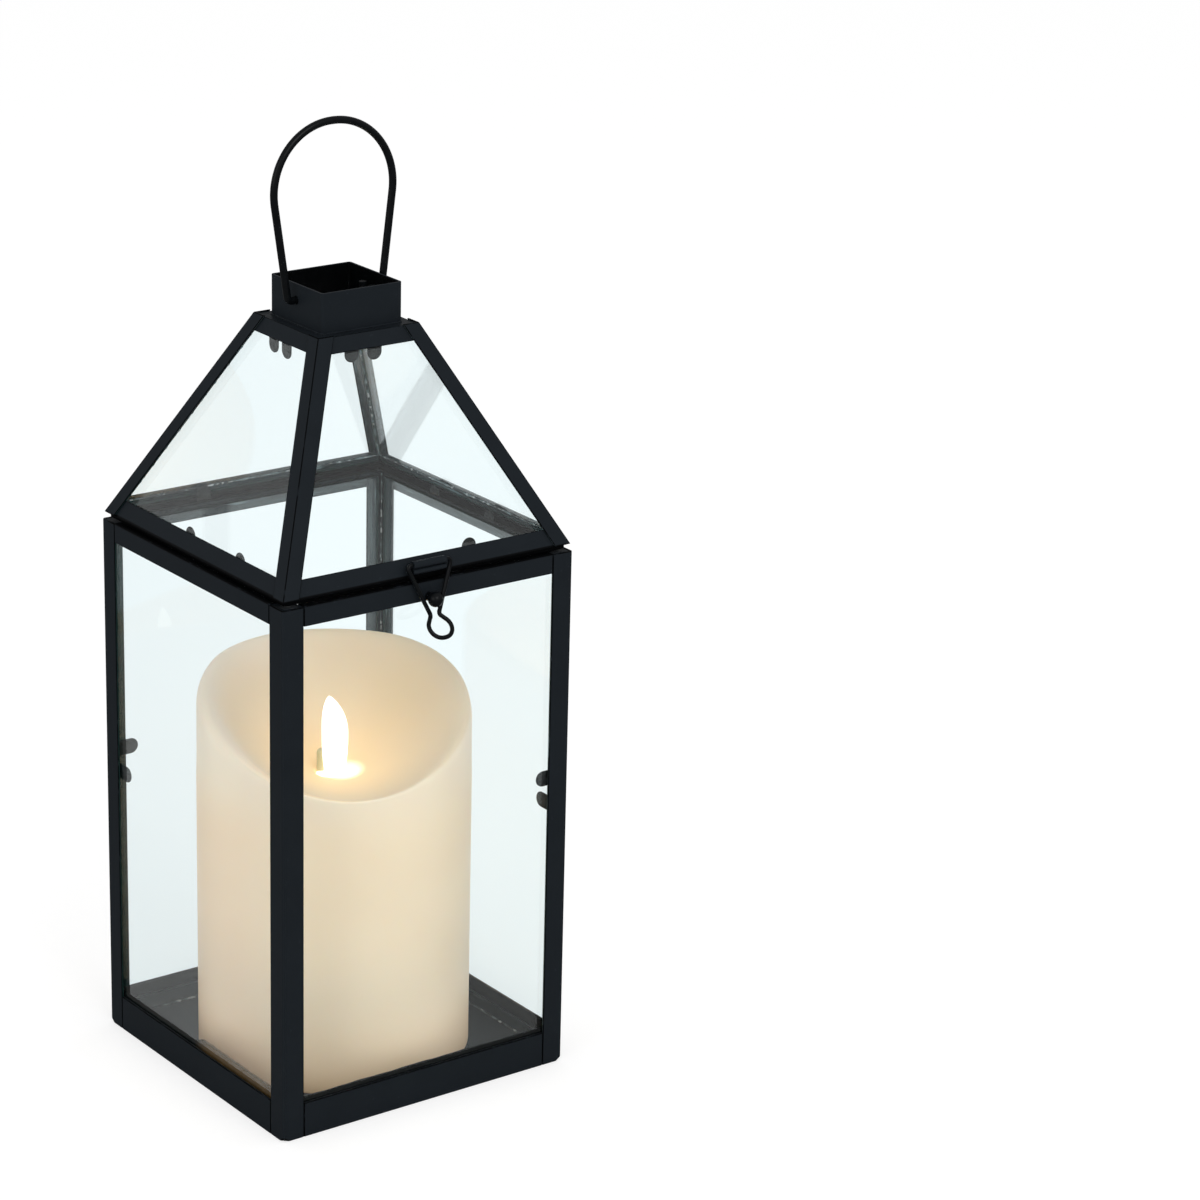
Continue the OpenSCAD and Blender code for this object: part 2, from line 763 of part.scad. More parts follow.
module wax_shell() {
  color(wax_colour) rotate([0, 0, candle_turn]) difference() {
    translate([0, 0, wax_z]) cylinder(h = candle_h + candle_z - wax_z, r = candle_r, $fn = 128);
    hollow_cutter();
    translate([0, 0, wax_z - 1])
      cylinder(h = bore_top - wax_z + 1, r = candle_r - wax_wall, $fn = 128);
    translate([0, 0, bore_top - 1])
      cylinder(h = housing_top + wax_gap - bore_top + 1, r = housing_r + seat_gap);
    translate([0, 0, housing_top]) linear_extrude(candle_h) flame_slot();
  }
}

module candle_base() {
  slot_x = slider_x + switch_travel + slider_gap;
  slot_y = slider_y + slider_gap;
  color(plastic_colour) difference() {
    union() {
      translate([0, 0, candle_z]) difference() {
        cylinder(h = base_wall_h, r = base_r, $fn = 128);
        translate([0, 0, -1]) cylinder(h = foot_h + 1 + eps, r = base_r - foot_w);
        translate([0, 0, foot_h - eps])
          cylinder(h = base_wall_h, r = base_r - base_wall, $fn = 128);
      }
      translate([0, 0, plate_z]) cylinder(h = base_t, r = base_r - base_wall + eps);
    }
    translate([-bay_x, -bay_y, plate_z - 1]) cube([2 * bay_x, 2 * bay_y, base_t + 2]);
    translate([-slot_x, switch_y - slot_y, plate_z - 1])
      cube([2 * slot_x, 2 * slot_y, base_t + 2]);
  }
}

// Cover of the battery bay: a plate under the base with a plug that fills the opening
module battery_door() {
  plug_x = bay_x - door_gap;
  plug_y = bay_y - door_gap;
  color(plastic_colour) {
    translate([-door_x, -door_y, plate_z - door_t]) cube([2 * door_x, 2 * door_y, door_t]);
    translate([-plug_x, -plug_y, plate_z - eps]) cube([2 * plug_x, 2 * plug_y, base_t + eps]);
  }
}

module battery_box() {
  color(plastic_colour) {
    translate([0, 0, deck_z]) difference() {
      translate([-box_in_x - box_wall, -box_in_y - box_wall, 0])
        cube([2 * (box_in_x + box_wall), 2 * (box_in_y + box_wall), box_in_h + box_wall]);
      translate([-box_in_x, -box_in_y, -1]) cube([2 * box_in_x, 2 * box_in_y, box_in_h + 1]);
    }
    for (x = [-screw_x, screw_x], y = [-screw_y, screw_y])
      translate([x, y, box_top - eps]) difference() {
        cylinder(h = board_z - box_top + eps, r = boss_r);
        translate([0, 0, boss_floor]) cylinder(h = board_z - box_top, r = boss_hole_r);
      }
  }
}

module batteries() {
  color(cell_colour) for (side = [-1, 1])
    translate([side * cell_shift, side * cell_y, cell_z]) rotate([0, side * 90, 0])
      translate([0, 0, -cell_len / 2]) {
        cylinder(h = cell_len - cell_nub, r = cell_d / 2);
        cylinder(h = cell_len, r = cell_nub_r);
      }
}

module contact_plates() {
  color(steel_colour) {
    translate([-box_in_x, -cell_y - contact_w / 2, cell_z - contact_w / 2])
      cube([contact_t, 2 * cell_y + contact_w, contact_w]);
    for (side = [-1, 1])
      translate([box_in_x - contact_t, side * cell_y - contact_w / 2, cell_z - contact_w / 2])
        cube([contact_t, contact_w, contact_w]);
  }
}

// Tapered coil of wire, its big end at z = 0
module coil_spring(r0, r1, len, turns, wire) {
  sides = 8;
  steps = 16 * turns;
  ring = [for (s = [0 : steps], a = [0 : sides - 1])
          let (f = s / steps, t = 360 * turns * f, r = r0 + (r1 - r0) * f,
               q = 360 * a / sides)
          [(r + wire * cos(q)) * cos(t), (r + wire * cos(q)) * sin(t),
           wire + (len - 2 * wire) * f + wire * sin(q)]];
  skin = [for (s = [0 : steps - 1], a = [0 : sides - 1])
          [s * sides + a, s * sides + (a + 1) % sides,
           (s + 1) * sides + (a + 1) % sides, (s + 1) * sides + a]];
  ends = [[for (a = [sides - 1 : -1 : 0]) a],
          [for (a = [0 : sides - 1]) steps * sides + a]];
  polyhedron(points = ring, faces = concat(skin, ends));
}

module contact_springs() {
  run = 2 * (box_in_x - contact_t) - cell_len - 3 * touch;
  color(steel_colour) for (side = [-1, 1])
    translate([side * (touch + contact_t - box_in_x), side * cell_y, cell_z])
      rotate([0, side * 90, 0])
        coil_spring(spring_r[0], spring_r[1], run, spring_turns, spring_wire_r);
}

module circuit_board() {
  color(board_colour) difference() {
    translate([-board_x, -board_y, board_z]) cube([2 * board_x, 2 * board_y, board_t]);
    for (x = [-screw_x, screw_x], y = [-screw_y, screw_y])
      translate([x, y, board_z - 1]) cylinder(h = board_t + 2, r = board_hole_r);
  }
  color(black_colour) translate([0, 0, board_top - eps]) {
    translate([-chip[0] / 2, -chip[1] / 2, 0]) cube(chip);
    translate([capacitor_x, 0, 0]) cylinder(h = capacitor_h, r = capacitor_r);
    translate([transistor_x, -transistor[1] / 2, 0]) cube(transistor);
  }
}

module board_screws() {
  color(steel_colour) for (x = [-screw_x, screw_x], y = [-screw_y, screw_y])
    translate([x, y, 0]) {
      translate([0, 0, board_z - screw_bite])
        cylinder(h = screw_bite + board_t + eps, r = screw_r);
      translate([0, 0, board_top]) cylinder(h = screw_head_h, r = screw_head_r);
    }
}

// Stepped tower from the battery box up to the flame housing
module inner_core() {
  inner = core_r - core_wall;
  neck_in = neck_r - core_wall;
  color(plastic_colour) rotate_extrude($fn = 96) polygon([
    [inner, box_top], [core_r, box_top], [core_r, core_step_z], [neck_r, core_step_z],
    [neck_r, housing_z], [neck_in, housing_z],
    [neck_in, core_step_z - core_wall], [inner, core_step_z - core_wall]
  ]);
}

module flame_housing() {
  color(plastic_colour) rotate([0, 0, candle_turn]) difference() {
    union() {
      translate([0, 0, housing_z]) cylinder(h = housing_top - housing_z, r = housing_r);
      translate([0, 0, housing_z]) cylinder(h = housing_floor, r = neck_r);
    }
    translate([0, 0, spool_z]) cylinder(h = housing_top, r = housing_r - housing_wall);
    translate([0, 0, flame_pivot_z]) rotate([90, 0, 0])
      cylinder(h = 4 * housing_r, r = wire_r + pin_clear, center = true);
  }
}

module coil_bobbin() {
  color(plastic_colour) translate([0, 0, spool_z]) {
    cylinder(h = spool_flange_t, r = spool_flange_r);
    cylinder(h = spool_h, r = spool_r);
    translate([0, 0, spool_h - spool_flange_t]) cylinder(h = spool_flange_t, r = spool_flange_r);
  }
}

module drive_coil() {
  coil_z = spool_z + spool_flange_t + touch;
  coil_h = spool_h - 2 * (spool_flange_t + touch);
  color(copper_colour) translate([0, 0, coil_z]) difference() {
    cylinder(h = coil_h, r = coil_r);
    translate([0, 0, -1]) cylinder(h = coil_h + 2, r = spool_r + touch);
  }
}

module led_lamp() {
  color(lamp_colour) rotate([0, 0, candle_turn]) translate([led_at[0], led_at[1], 0]) {
    translate([0, 0, led_z0]) cylinder(h = led_top - led_r - led_z0, r = led_r);
    translate([0, 0, led_top - led_r]) sphere(led_r);
    for (side = [-1, 1]) translate([side * lead_half, 0, spool_z])
      cylinder(h = led_z0 - spool_z + eps, r = lead_r);
  }
}

module pivot_wire() {
  color(steel_colour) rotate([0, 0, candle_turn]) translate([0, 0, flame_pivot_z])
    rotate([90, 0, 0]) cylinder(h = 2 * housing_r - 0.2, r = wire_r, center = true);
}

// Share of the flame's width at share f of its height: full at the belly, a point at the tip
function flame_share(f) = f < flame_belly
  ? flame_foot + (1 - flame_foot) * sin(90 * f / flame_belly)
  : let (g = (f - flame_belly) / (1 - flame_belly)) 0.6 * cos(90 * g) + 0.4 * (1 - g);

// Flame outline, from its foot to a tip that leans to the left
module flame_outline() {
  edge = function (side, f)
    [side * flame_w / 2 * flame_share(f) - flame_lean * pow(f, 1.6), flame_h * f];
  polygon(concat([for (i = [0 : flame_steps]) edge(1, i / flame_steps)],
                 [for (i = [flame_steps - 1 : -1 : 0]) edge(-1, i / flame_steps)]));
}

module flame_paddle() {
  color(flame_colour) rotate([0, 0, candle_turn]) difference() {
    translate([0, flame_t / 2, 0]) rotate([90, 0, 0]) linear_extrude(flame_t) {
      translate([0, scoop_z]) flame_outline();
      translate([-stem_w / 2, stem_z]) square([stem_w, scoop_z - stem_z + 1]);
    }
    translate([0, 0, flame_pivot_z]) rotate([90, 0, 0])
      cylinder(h = 4 * flame_t, r = wire_r + pin_clear, center = true);
  }
}

module flame_magnet() {
  color(magnet_colour) translate([0, 0, stem_z - magnet_h])
    cylinder(h = magnet_h, r = magnet_r);
}

module switch_housing() {
  in_x = switch_x - switch_wall;
  in_y = switch_half_y - switch_wall;
  pocket_h = slider_deck_gap + slider_shoe_t + 2 * slider_deck_gap;
  color(black_colour) difference() {
    translate([-switch_x, switch_y - switch_half_y, deck_z])
      cube([2 * switch_x, 2 * switch_half_y, switch_h]);
    translate([-in_x, switch_y - in_y, deck_z - 1]) cube([2 * in_x, 2 * in_y, 1 + pocket_h]);
  }
}

module switch_slider() {
  shoe_x = slider_x + slider_shoe;
  shoe_y = slider_y + slider_shoe;
  shoe_z = deck_z + slider_deck_gap;
  button_z = plate_z - base_t;
  color(black_colour) {
    translate([-slider_x, switch_y - slider_y, button_z])
      cube([2 * slider_x, 2 * slider_y, shoe_z + eps - button_z]);
    translate([-shoe_x, switch_y - shoe_y, shoe_z]) cube([2 * shoe_x, 2 * shoe_y, slider_shoe_t]);
  }
}

floor_pan();
base_rail(front);  // base_rail_front
base_rail(right);  // base_rail_right
base_rail(back);  // base_rail_back
base_rail(left);  // base_rail_left
post(front);  // post_front_left
post(right);  // post_front_right
post(back);  // post_back_right
post(left);  // post_back_left
top_rail(front);  // top_rail_front
top_rail(right);  // top_rail_right
top_rail(back);  // top_rail_back
top_rail(left);  // top_rail_left
side_glass(front);  // side_glass_front
side_glass(right);  // side_glass_right
side_glass(back);  // side_glass_back
side_glass(left);  // side_glass_left
side_glass_tabs();
latch_knob();
hinge_leaf_body();
hinge_pins();
lid_rail(front);  // lid_rail_front
lid_rail(right);  // lid_rail_right
lid_rail(back);  // lid_rail_back
lid_rail(left);  // lid_rail_left
hip(left);  // hip_front_left
hip(front);  // hip_front_right
hip(right);  // hip_back_right
hip(back);  // hip_back_left
roof_cap();
chimney_collar();
roof_glass(front);  // roof_glass_front
roof_glass(right);  // roof_glass_right
roof_glass(back);  // roof_glass_back
roof_glass(left);  // roof_glass_left
roof_glass_tabs();
latch_bracket();
hinge_leaf_lid();
bail_handle();
latch_loop();
wax_shell();
candle_base();
battery_door();
battery_box();
batteries();
contact_plates();
contact_springs();
circuit_board();
board_screws();
inner_core();
flame_housing();
coil_bobbin();
drive_coil();
led_lamp();
pivot_wire();
switch_housing();
switch_slider();
flame_paddle();
flame_magnet();
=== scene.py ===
import math

import bmesh
import bpy
from bpy.props import FloatProperty, FloatVectorProperty, PointerProperty
from mathutils import Matrix, Vector


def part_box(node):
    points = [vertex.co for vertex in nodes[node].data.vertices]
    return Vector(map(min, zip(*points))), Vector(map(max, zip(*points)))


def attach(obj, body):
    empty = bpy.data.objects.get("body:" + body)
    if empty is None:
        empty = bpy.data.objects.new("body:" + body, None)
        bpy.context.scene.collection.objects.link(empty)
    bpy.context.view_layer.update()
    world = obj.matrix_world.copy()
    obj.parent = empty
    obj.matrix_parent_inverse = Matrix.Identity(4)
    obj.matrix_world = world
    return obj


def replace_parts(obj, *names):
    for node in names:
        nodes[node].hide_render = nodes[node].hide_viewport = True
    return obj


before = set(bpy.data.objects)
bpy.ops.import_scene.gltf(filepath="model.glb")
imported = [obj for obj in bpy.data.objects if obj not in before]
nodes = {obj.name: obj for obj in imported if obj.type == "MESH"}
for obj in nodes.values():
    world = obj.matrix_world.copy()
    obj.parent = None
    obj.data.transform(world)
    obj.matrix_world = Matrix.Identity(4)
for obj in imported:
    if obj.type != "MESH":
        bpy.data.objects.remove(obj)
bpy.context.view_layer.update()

bl_info = {
    "name": "Candle Lantern",
    "version": (1, 0, 0),
    "blender": (4, 5, 0),
    "location": "3D View > Sidebar > Lantern",
    "description": "Finishes, wax, flame and studio for a hinged candle lantern",
    "category": "Add Mesh",
}

MM = 0.001

SIDES = ("front", "right", "back", "left")
CORNERS = ("front_left", "front_right", "back_right", "back_left")
# Quarter turns that bring the front to each side
QUARTER = {"front": 0, "right": 1, "back": 2, "left": 3}
# Which rails run alike, and in which direction
RAIL_RUNS = ((("front", "back"), (1, 0, 0)), (("right", "left"), (0, 1, 0)))

# The candle's place and size, how far its low rim is turned from the front, and the
# flame's height above the hollow's floor
WAX_LOW, WAX_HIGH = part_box("wax_shell")
CANDLE_TURN = math.radians(-23)
FLAME_HEIGHT = 31 * MM

# Sheet metal sizes that the soldered trim seats on
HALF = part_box("post_front_right")[1].x
SHEET = 1.0 * MM
PANE_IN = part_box("side_glass_right")[0].x
POST_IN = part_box("post_front_right")[0].x
POST_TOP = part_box("post_front_right")[1].z
RAIL_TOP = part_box("base_rail_front")[1].z
PAN_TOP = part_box("floor_pan")[1].z
LID_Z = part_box("hip_front_right")[0].z
LID_GAP_MID = (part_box("top_rail_front")[1].z + LID_Z) / 2
# The roof panes' inner faces: half the way between them at the lid's foot, and rise over run
ROOF_HALF, ROOF_RISE = 57.8 * MM, 1.985


def roof_inside(z):
    """Distance of a roof pane's inner face from the middle, at a height."""
    return ROOF_HALF - (z - LID_Z) / ROOF_RISE


# ---- What a user may change ----


class LanternMetal(bpy.types.PropertyGroup):
    paint: FloatVectorProperty(
        name="Paint", description="Satin black paint on the outside of the frame",
        subtype="COLOR", min=0, max=1, default=(0.0095, 0.0124, 0.0155))
    # Dust on the paint is real; along the collar's rim this colour is a painted highlight.
    dust_and_rim_highlight: FloatVectorProperty(
        name="Worn", description="Dust on the paint, and the worn rim of the collar",
        subtype="COLOR", min=0, max=1, default=(0.016, 0.019, 0.024))
    inside: FloatVectorProperty(
        name="Inside", description="Streaked bare sheet on the inside of the frame",
        subtype="COLOR", min=0, max=1, default=(0.014, 0.021, 0.023))
    streak: FloatVectorProperty(
        name="Streak", description="Light streaks on the inside of the frame",
        subtype="COLOR", min=0, max=1, default=(0.078, 0.104, 0.108))
    shaded: FloatVectorProperty(
        name="Shaded inside", description="Inside of the posts that the panes shade green",
        subtype="COLOR", min=0, max=1, default=(0.010, 0.030, 0.029))
    tab: FloatVectorProperty(
        name="Tab", description="Solder-coated tabs that hold the panes",
        subtype="COLOR", min=0, max=1, default=(0.022, 0.026, 0.026))
    edge_round: FloatProperty(
        name="Edge rounding", description="Rounding of the sheet's edges",
        unit="LENGTH", min=0, max=0.0004, default=0.0003)


class LanternGlass(bpy.types.PropertyGroup):
    tint: FloatVectorProperty(
        name="Tint", description="Colour that each face of a pane gives to what is behind it",
        subtype="COLOR", min=0, max=1, default=(0.942, 0.992, 1.0))
    edge: FloatVectorProperty(
        name="Edge", description="Deep green of the ground edges",
        subtype="COLOR", min=0, max=1, default=(0.008, 0.045, 0.038))


class LanternCandle(bpy.types.PropertyGroup):
    wax: FloatVectorProperty(
        name="Wax", description="Ivory wax of the pillar",
        subtype="COLOR", min=0, max=1, default=(0.90, 0.735, 0.535))
    glow: FloatVectorProperty(
        name="Glow", description="Light of the flame in the wax around the hollow",
        subtype="COLOR", min=0, max=1, default=(1.0, 0.60, 0.27))
    flame: FloatVectorProperty(
        name="Flame", description="Light of the flame",
        subtype="COLOR", min=0, max=1, default=(1.0, 0.93, 0.80))
    scoop_drop: FloatProperty(
        name="Rim drop", description="Drop of the melted rim, from back to front",
        unit="LENGTH", min=0.015, max=0.033, default=0.0315)
    hollow_floor: FloatProperty(
        name="Hollow floor", description="Height of the hollow's floor above the table",
        unit="LENGTH", min=0.10, max=0.13, default=0.111)
    bore: FloatProperty(
        name="Bore", description="Radius of the pillar's bore",
        unit="LENGTH", min=0.04, max=0.05, default=0.0462)
    bore_top: FloatProperty(
        name="Bore top", description="Height of the bore's roof",
        unit="LENGTH", min=0.06, max=0.1, default=0.088)
    housing_bore: FloatProperty(
        name="Flame housing bore", description="Radius of the hole around the flame's housing",
        unit="LENGTH", min=0.009, max=0.011, default=0.0097)
    housing_top: FloatProperty(
        name="Flame housing top", description="Height of the flame housing's top",
        unit="LENGTH", min=0.1, max=0.12, default=0.1082)
    slot_half: FloatProperty(
        name="Slot", description="Half of the straight length of the flame's slot",
        unit="LENGTH", min=0.002, max=0.006, default=0.004)
    slot_round: FloatProperty(
        name="Slot end", description="Radius of the ends of the flame's slot",
        unit="LENGTH", min=0.003, max=0.006, default=0.0042)


class LanternStage(bpy.types.PropertyGroup):
    floor: FloatVectorProperty(
        name="Floor", description="Pale floor",
        subtype="COLOR", min=0, max=1, default=(0.86, 0.86, 0.86))
    floor_size: FloatProperty(
        name="Floor size", description="Width of the floor",
        unit="LENGTH", min=2, max=40, default=16)
    daylight: FloatProperty(
        name="Daylight", description="Brightness of the room around the lantern",
        min=0, max=1, default=0.80)
    key_power: FloatProperty(
        name="Key lamp", description="Power of the large soft lamp in front",
        unit="POWER", min=0, max=100, default=14)
    fill_power: FloatProperty(
        name="Fill lamp", description="Power of the soft lamp on the left",
        unit="POWER", min=0, max=100, default=5)


SETTINGS = {
    "lantern_metal": LanternMetal,
    "lantern_glass": LanternGlass,
    "lantern_candle": LanternCandle,
    "lantern_stage": LanternStage,
}


# ---- Node materials, written as expressions ----


class Link:
    """A node's output. Sums and products of links add Math nodes to the same tree."""

    def __init__(self, finish, socket):
        self.finish = finish
        self.socket = socket

    def __add__(self, other):
        return self.finish.maths("ADD", self, other)

    def __radd__(self, other):
        return self.finish.maths("ADD", other, self)

    def __sub__(self, other):
        return self.finish.maths("SUBTRACT", self, other)

    def __rsub__(self, other):
        return self.finish.maths("SUBTRACT", other, self)

    def __mul__(self, other):
        return self.finish.maths("MULTIPLY", self, other)

    def __rmul__(self, other):
        return self.finish.maths("MULTIPLY", other, self)

    def __truediv__(self, other):
        return self.finish.maths("DIVIDE", self, other)

    def __rtruediv__(self, other):
        return self.finish.maths("DIVIDE", other, self)

    def __pow__(self, other):
        return self.finish.maths("POWER", self, other)


MIX_FACTOR, MIX_A, MIX_B, MIX_RESULT = 0, 6, 7, 2


class Finish:
    """The node tree of one material or of the world, while it is put together."""

    def __init__(self, owner):
        owner.use_nodes = True
        self.owner = owner
        self.tree = owner.node_tree
        self.tree.nodes.clear()

    def add(self, kind, settings=None, sockets=None, output=0):
        """Adds a node, sets it up, then fills its sockets with values or links."""
        node = self.tree.nodes.new("ShaderNode" + kind)
        for name, value in (settings or {}).items():
            setattr(node, name, value)
        for name, value in (sockets or {}).items():
            if isinstance(value, Link):
                self.tree.links.new(value.socket, node.inputs[name])
            else:
                node.inputs[name].default_value = value
        return Link(self, node.outputs[output]) if node.outputs else node

    def maths(self, operation, *values):
        return self.add("Math", {"operation": operation}, dict(enumerate(values)))

    def vector(self, operation, *values, output=0):
        settings = {"operation": operation}
        return self.add("VectorMath", settings, dict(enumerate(values)), output)

    def mix(self, factor, a, b):
        """Colour a where factor is 0 and b where it is 1."""
        a, b = (value if isinstance(value, Link) else rgba(value) for value in (a, b))
        sockets = {MIX_FACTOR: factor, MIX_A: a, MIX_B: b}
        return self.add("Mix", {"data_type": "RGBA"}, sockets, MIX_RESULT)

    def step(self, value, low, high, to=(0.0, 1.0)):
        """Rises smoothly from to[0] where value is low to to[1] where it is high."""
        return self.add("MapRange", {"interpolation_type": "SMOOTHSTEP"}, {
            "Value": value, "From Min": low, "From Max": high, "To Min": to[0], "To Max": to[1]})

    def place(self):
        """The point on the piece, in metres, in the frame's axes at rest."""
        return self.add("TexCoord", output="Object")

    def facing(self):
        """The surface's normal, in the frame's axes at rest."""
        return self.add("TexCoord", output="Normal")

    def parts(self, vector):
        """The x, y and z of a vector."""
        split = self.add("SeparateXYZ", sockets={0: vector})
        outputs = split.socket.node.outputs
        return [Link(self, outputs[axis]) for axis in range(3)]

    def noise(self, where, scale, detail, roughness):
        return self.add("TexNoise", {"noise_dimensions": "3D"}, {
            "Vector": where, "Scale": scale, "Detail": detail, "Roughness": roughness})

    def bump(self, height, strength, distance):
        return self.add("Bump", sockets={
            "Height": height, "Strength": strength, "Distance": distance})

    def surface(self, **sockets):
        """A Principled shader. Each keyword is a socket's name with _ for its spaces."""
        named = {name.replace("_", " "): value for name, value in sockets.items()}
        return self.add("BsdfPrincipled", sockets=named)

    def show(self, shader):
        kind = "OutputWorld" if isinstance(self.owner, bpy.types.World) else "OutputMaterial"
        self.add(kind, sockets={"Surface": shader})
        return self.owner


def rgba(colour):
    return (*colour[:3], 1.0)


def times(colour, share):
    """A colour with each part multiplied, up to full brightness."""
    return [min(share * part, 1) for part in colour]


def new_finish(name):
    return Finish(bpy.data.materials.new(name))


def inward_share(finish):
    """1 where the surface faces the lantern's middle, 0 where it faces outwards."""
    x, y, _ = finish.parts(finish.place())
    out = finish.vector("NORMALIZE", finish.add("CombineXYZ", sockets={0: x, 1: y}))
    outward = finish.vector("DOT_PRODUCT", finish.facing(), out, output="Value")
    return finish.step(outward, -0.1, -0.3)


def drawn_out(finish, place, run):
    """The place with its distance along run made short, so patterns stretch that way."""
    run = Vector(run).normalized()
    taken = finish.vector("DOT_PRODUCT", place, run, output="Value") * 0.93
    back = finish.add("VectorMath", {"operation": "SCALE"}, {0: run, "Scale": taken})
    return finish.vector("SUBTRACT", place, back)


def streaked_sheet(finish, metal, run):
    """Bare sheet with long dark and light streaks and a few bright scratches, with painted shade
    that darkens it round the pan and a painted green shade from the panes on the left."""
    place = finish.place()
    stretched = drawn_out(finish, place, run)
    broad = finish.step(finish.noise(stretched, 240, 3.0, 0.6), 0.36, 0.66)
    fine = finish.step(finish.noise(stretched, 620, 3.0, 0.6), 0.42, 0.70)
    smears = finish.step(finish.noise(place, 55, 3.0, 0.6), 0.40, 0.70)
    sheet = finish.mix(broad * 0.60 + fine * 0.40, metal.inside, metal.streak)
    bright = finish.step(finish.noise(stretched, 420, 2.0, 0.5), 0.60, 0.66) * smears
    sheet = finish.mix(bright * 0.9, sheet, times(metal.streak, 3.4))
    x, _, z = finish.parts(place)
    # Painted shade: darker low down, round the pan.
    low = finish.step(z, 20 * MM, 14 * MM)
    sheet = finish.mix(low * 0.8, sheet, times(metal.inside, 0.7))
    # Painted shade: green on the left, where the sheet is seen through a pane.
    left = finish.step(x, -40 * MM, -52 * MM)
    return finish.mix(left, sheet, metal.shaded)


def black_paint(metal, name, run=None, inner_shade=False):
    """Satin black paint. Where run is given, the faces that look inwards show streaked
    grey sheet, with its streaks in that direction, and painted shade turns the gap under the lid
    black. Where asked, painted shade makes the faces that look inwards blacker."""
    finish = new_finish(name)
    place = finish.place()
    mottle = finish.noise(place, 70, 3.0, 0.6)
    grain = finish.noise(place, 1900, 2.0, 0.5)
    dust = finish.step(finish.noise(place, 620, 1.0, 0.5), 0.73, 0.80)
    paint = finish.mix(mottle * 0.6, metal.paint, times(metal.paint, 1.5))
    paint = finish.mix(dust * 0.35, paint, times(metal.dust_and_rim_highlight, 1.6))
    roughness = 0.34 + 0.16 * mottle
    if run:
        inner = inward_share(finish)
        paint = finish.mix(inner, paint, streaked_sheet(finish, metal, run))
        roughness = roughness + inner * 0.15
        _, _, z = finish.parts(place)
        # Painted shade: the sheet round the gap under the lid is painted black.
        from_gap = finish.maths("ABSOLUTE", z - LID_GAP_MID)
        gap = finish.step(from_gap, 1.8 * MM, 1.4 * MM)
        paint = finish.mix(gap * 0.9, paint, (0.0, 0.0, 0.0))
    # Painted shade: the faces that look inwards are painted blacker.
    if inner_shade:
        paint = finish.mix(inward_share(finish), paint, times(metal.paint, 0.12))
    normal = finish.bump(grain + 2.0 * mottle, 0.10, 0.12 * MM)
    return finish.show(finish.surface(
        Base_Color=paint, Roughness=roughness, Specular_IOR_Level=0.06, Normal=normal))


def glossy_paint(metal):
    """Thick glossy black paint that has run a little on wire."""
    finish = new_finish("glossy_paint")
    place = finish.place()
    runs = finish.noise(place, 260, 3.0, 0.55)
    colour = finish.mix(runs, times(metal.paint, 0.10), times(metal.paint, 0.45))
    return finish.show(finish.surface(
        Base_Color=colour, Roughness=0.22 + 0.16 * runs, Specular_IOR_Level=0.16,
        Normal=finish.bump(runs, 0.25, 0.4 * MM)))


def edge_light_and_shade(metal, rim=None):
    """Painted shade along the rounded edges: nearly black, with patches of plain paint. Where the
    height of a rim is given, the patches are pale and a painted highlight runs pale along the rim."""
    finish = new_finish("edge_light_and_shade" if rim is None else "rim_highlight")
    place = finish.place()
    patches = finish.step(finish.noise(place, 260, 4.0, 0.6), 0.56, 0.66)
    if rim is not None:
        _, _, z = finish.parts(place)
        patches = finish.maths("MAXIMUM", patches, finish.step(z, rim - 0.9 * MM, rim - 0.3 * MM))
    # Painted shade makes the rounded edges nearly black; on a rim the lighter colour is a painted
    # highlight.
    lighter = metal.paint if rim is None else metal.dust_and_rim_highlight
    colour = finish.mix(patches, times(metal.paint, 0.12), lighter)
    return finish.show(finish.surface(
        Base_Color=colour, Roughness=0.42 + 0.1 * patches, Specular_IOR_Level=0.03))


def clear_glass(glass, name, across):
    """Clear pane whose faces lie across a direction, with deep green ground edges."""
    finish = new_finish(name)
    facing = finish.vector("ABSOLUTE", finish.facing())
    squareness = finish.vector("DOT_PRODUCT", facing, across, output="Value")
    face = finish.step(squareness, 0.84, 0.92)
    pane = finish.surface(
        Base_Color=rgba(glass.tint), Roughness=0.0, IOR=1.45, Specular_IOR_Level=0.28,
        Transmission_Weight=1.0)
    ground = finish.noise(finish.place(), 900, 3.0, 0.6)
    edge = finish.surface(
        Base_Color=finish.mix(ground, glass.edge, times(glass.edge, 0.4)),
        Roughness=0.3, Specular_IOR_Level=0.5)
    solid = finish.add("MixShader", sockets={0: face, 1: edge, 2: pane})
    path = finish.add("LightPath", output="Is Shadow Ray")
    diffuse = Link(finish, path.socket.node.outputs["Is Diffuse Ray"])
    open_air = finish.add("BsdfTransparent", sockets={"Color": (0.97, 0.99, 1.0, 1.0)})
    passing = finish.maths("MAXIMUM", path, diffuse) * face
    return finish.show(finish.add("MixShader", sockets={0: passing, 1: solid, 2: open_air}))


# Tints of the wax; the cloudy and pale-vein tints are the wax's own, the others stand for painted
# light and shade
BROWN_FOOT_SHADE = (0.52, 0.36, 0.18)
# Painted warm light round the flame
HONEY_FLAME_LIGHT = (0.84, 0.62, 0.33)
# Painted warm shade on the hollow's wall
HOLLOW_SHADE = (0.80, 0.60, 0.34)
CLOUDY = (0.82, 0.63, 0.43)
PALE_VEIN = (0.95, 0.85, 0.70)
# Painted warm shade on the left side
ROSY_SHADE = (0.75, 0.45, 0.30)
# Painted shade: parts of the wax's colour that are left at the foot
FOOT_SHADE_SHARE = (0.92, 0.88, 0.84)
# Middle of the painted warm shade on the hollow's wall, behind and right of the flame
HOLLOW_SHADE_PLACE = (0.0359, 0.0067, 0.132)
# Light in the wax: by the flame, and daylight in the crown, low on the side and at the foot
POOL_LIGHT = (1.0, 0.90, 0.72)
CROWN_LIGHT = (0.9, 1.0, 1.2)
SIDE_LIGHT = (1.0, 0.95, 0.9)
FOOT_LIGHT = (1.0, 0.55, 0.22)


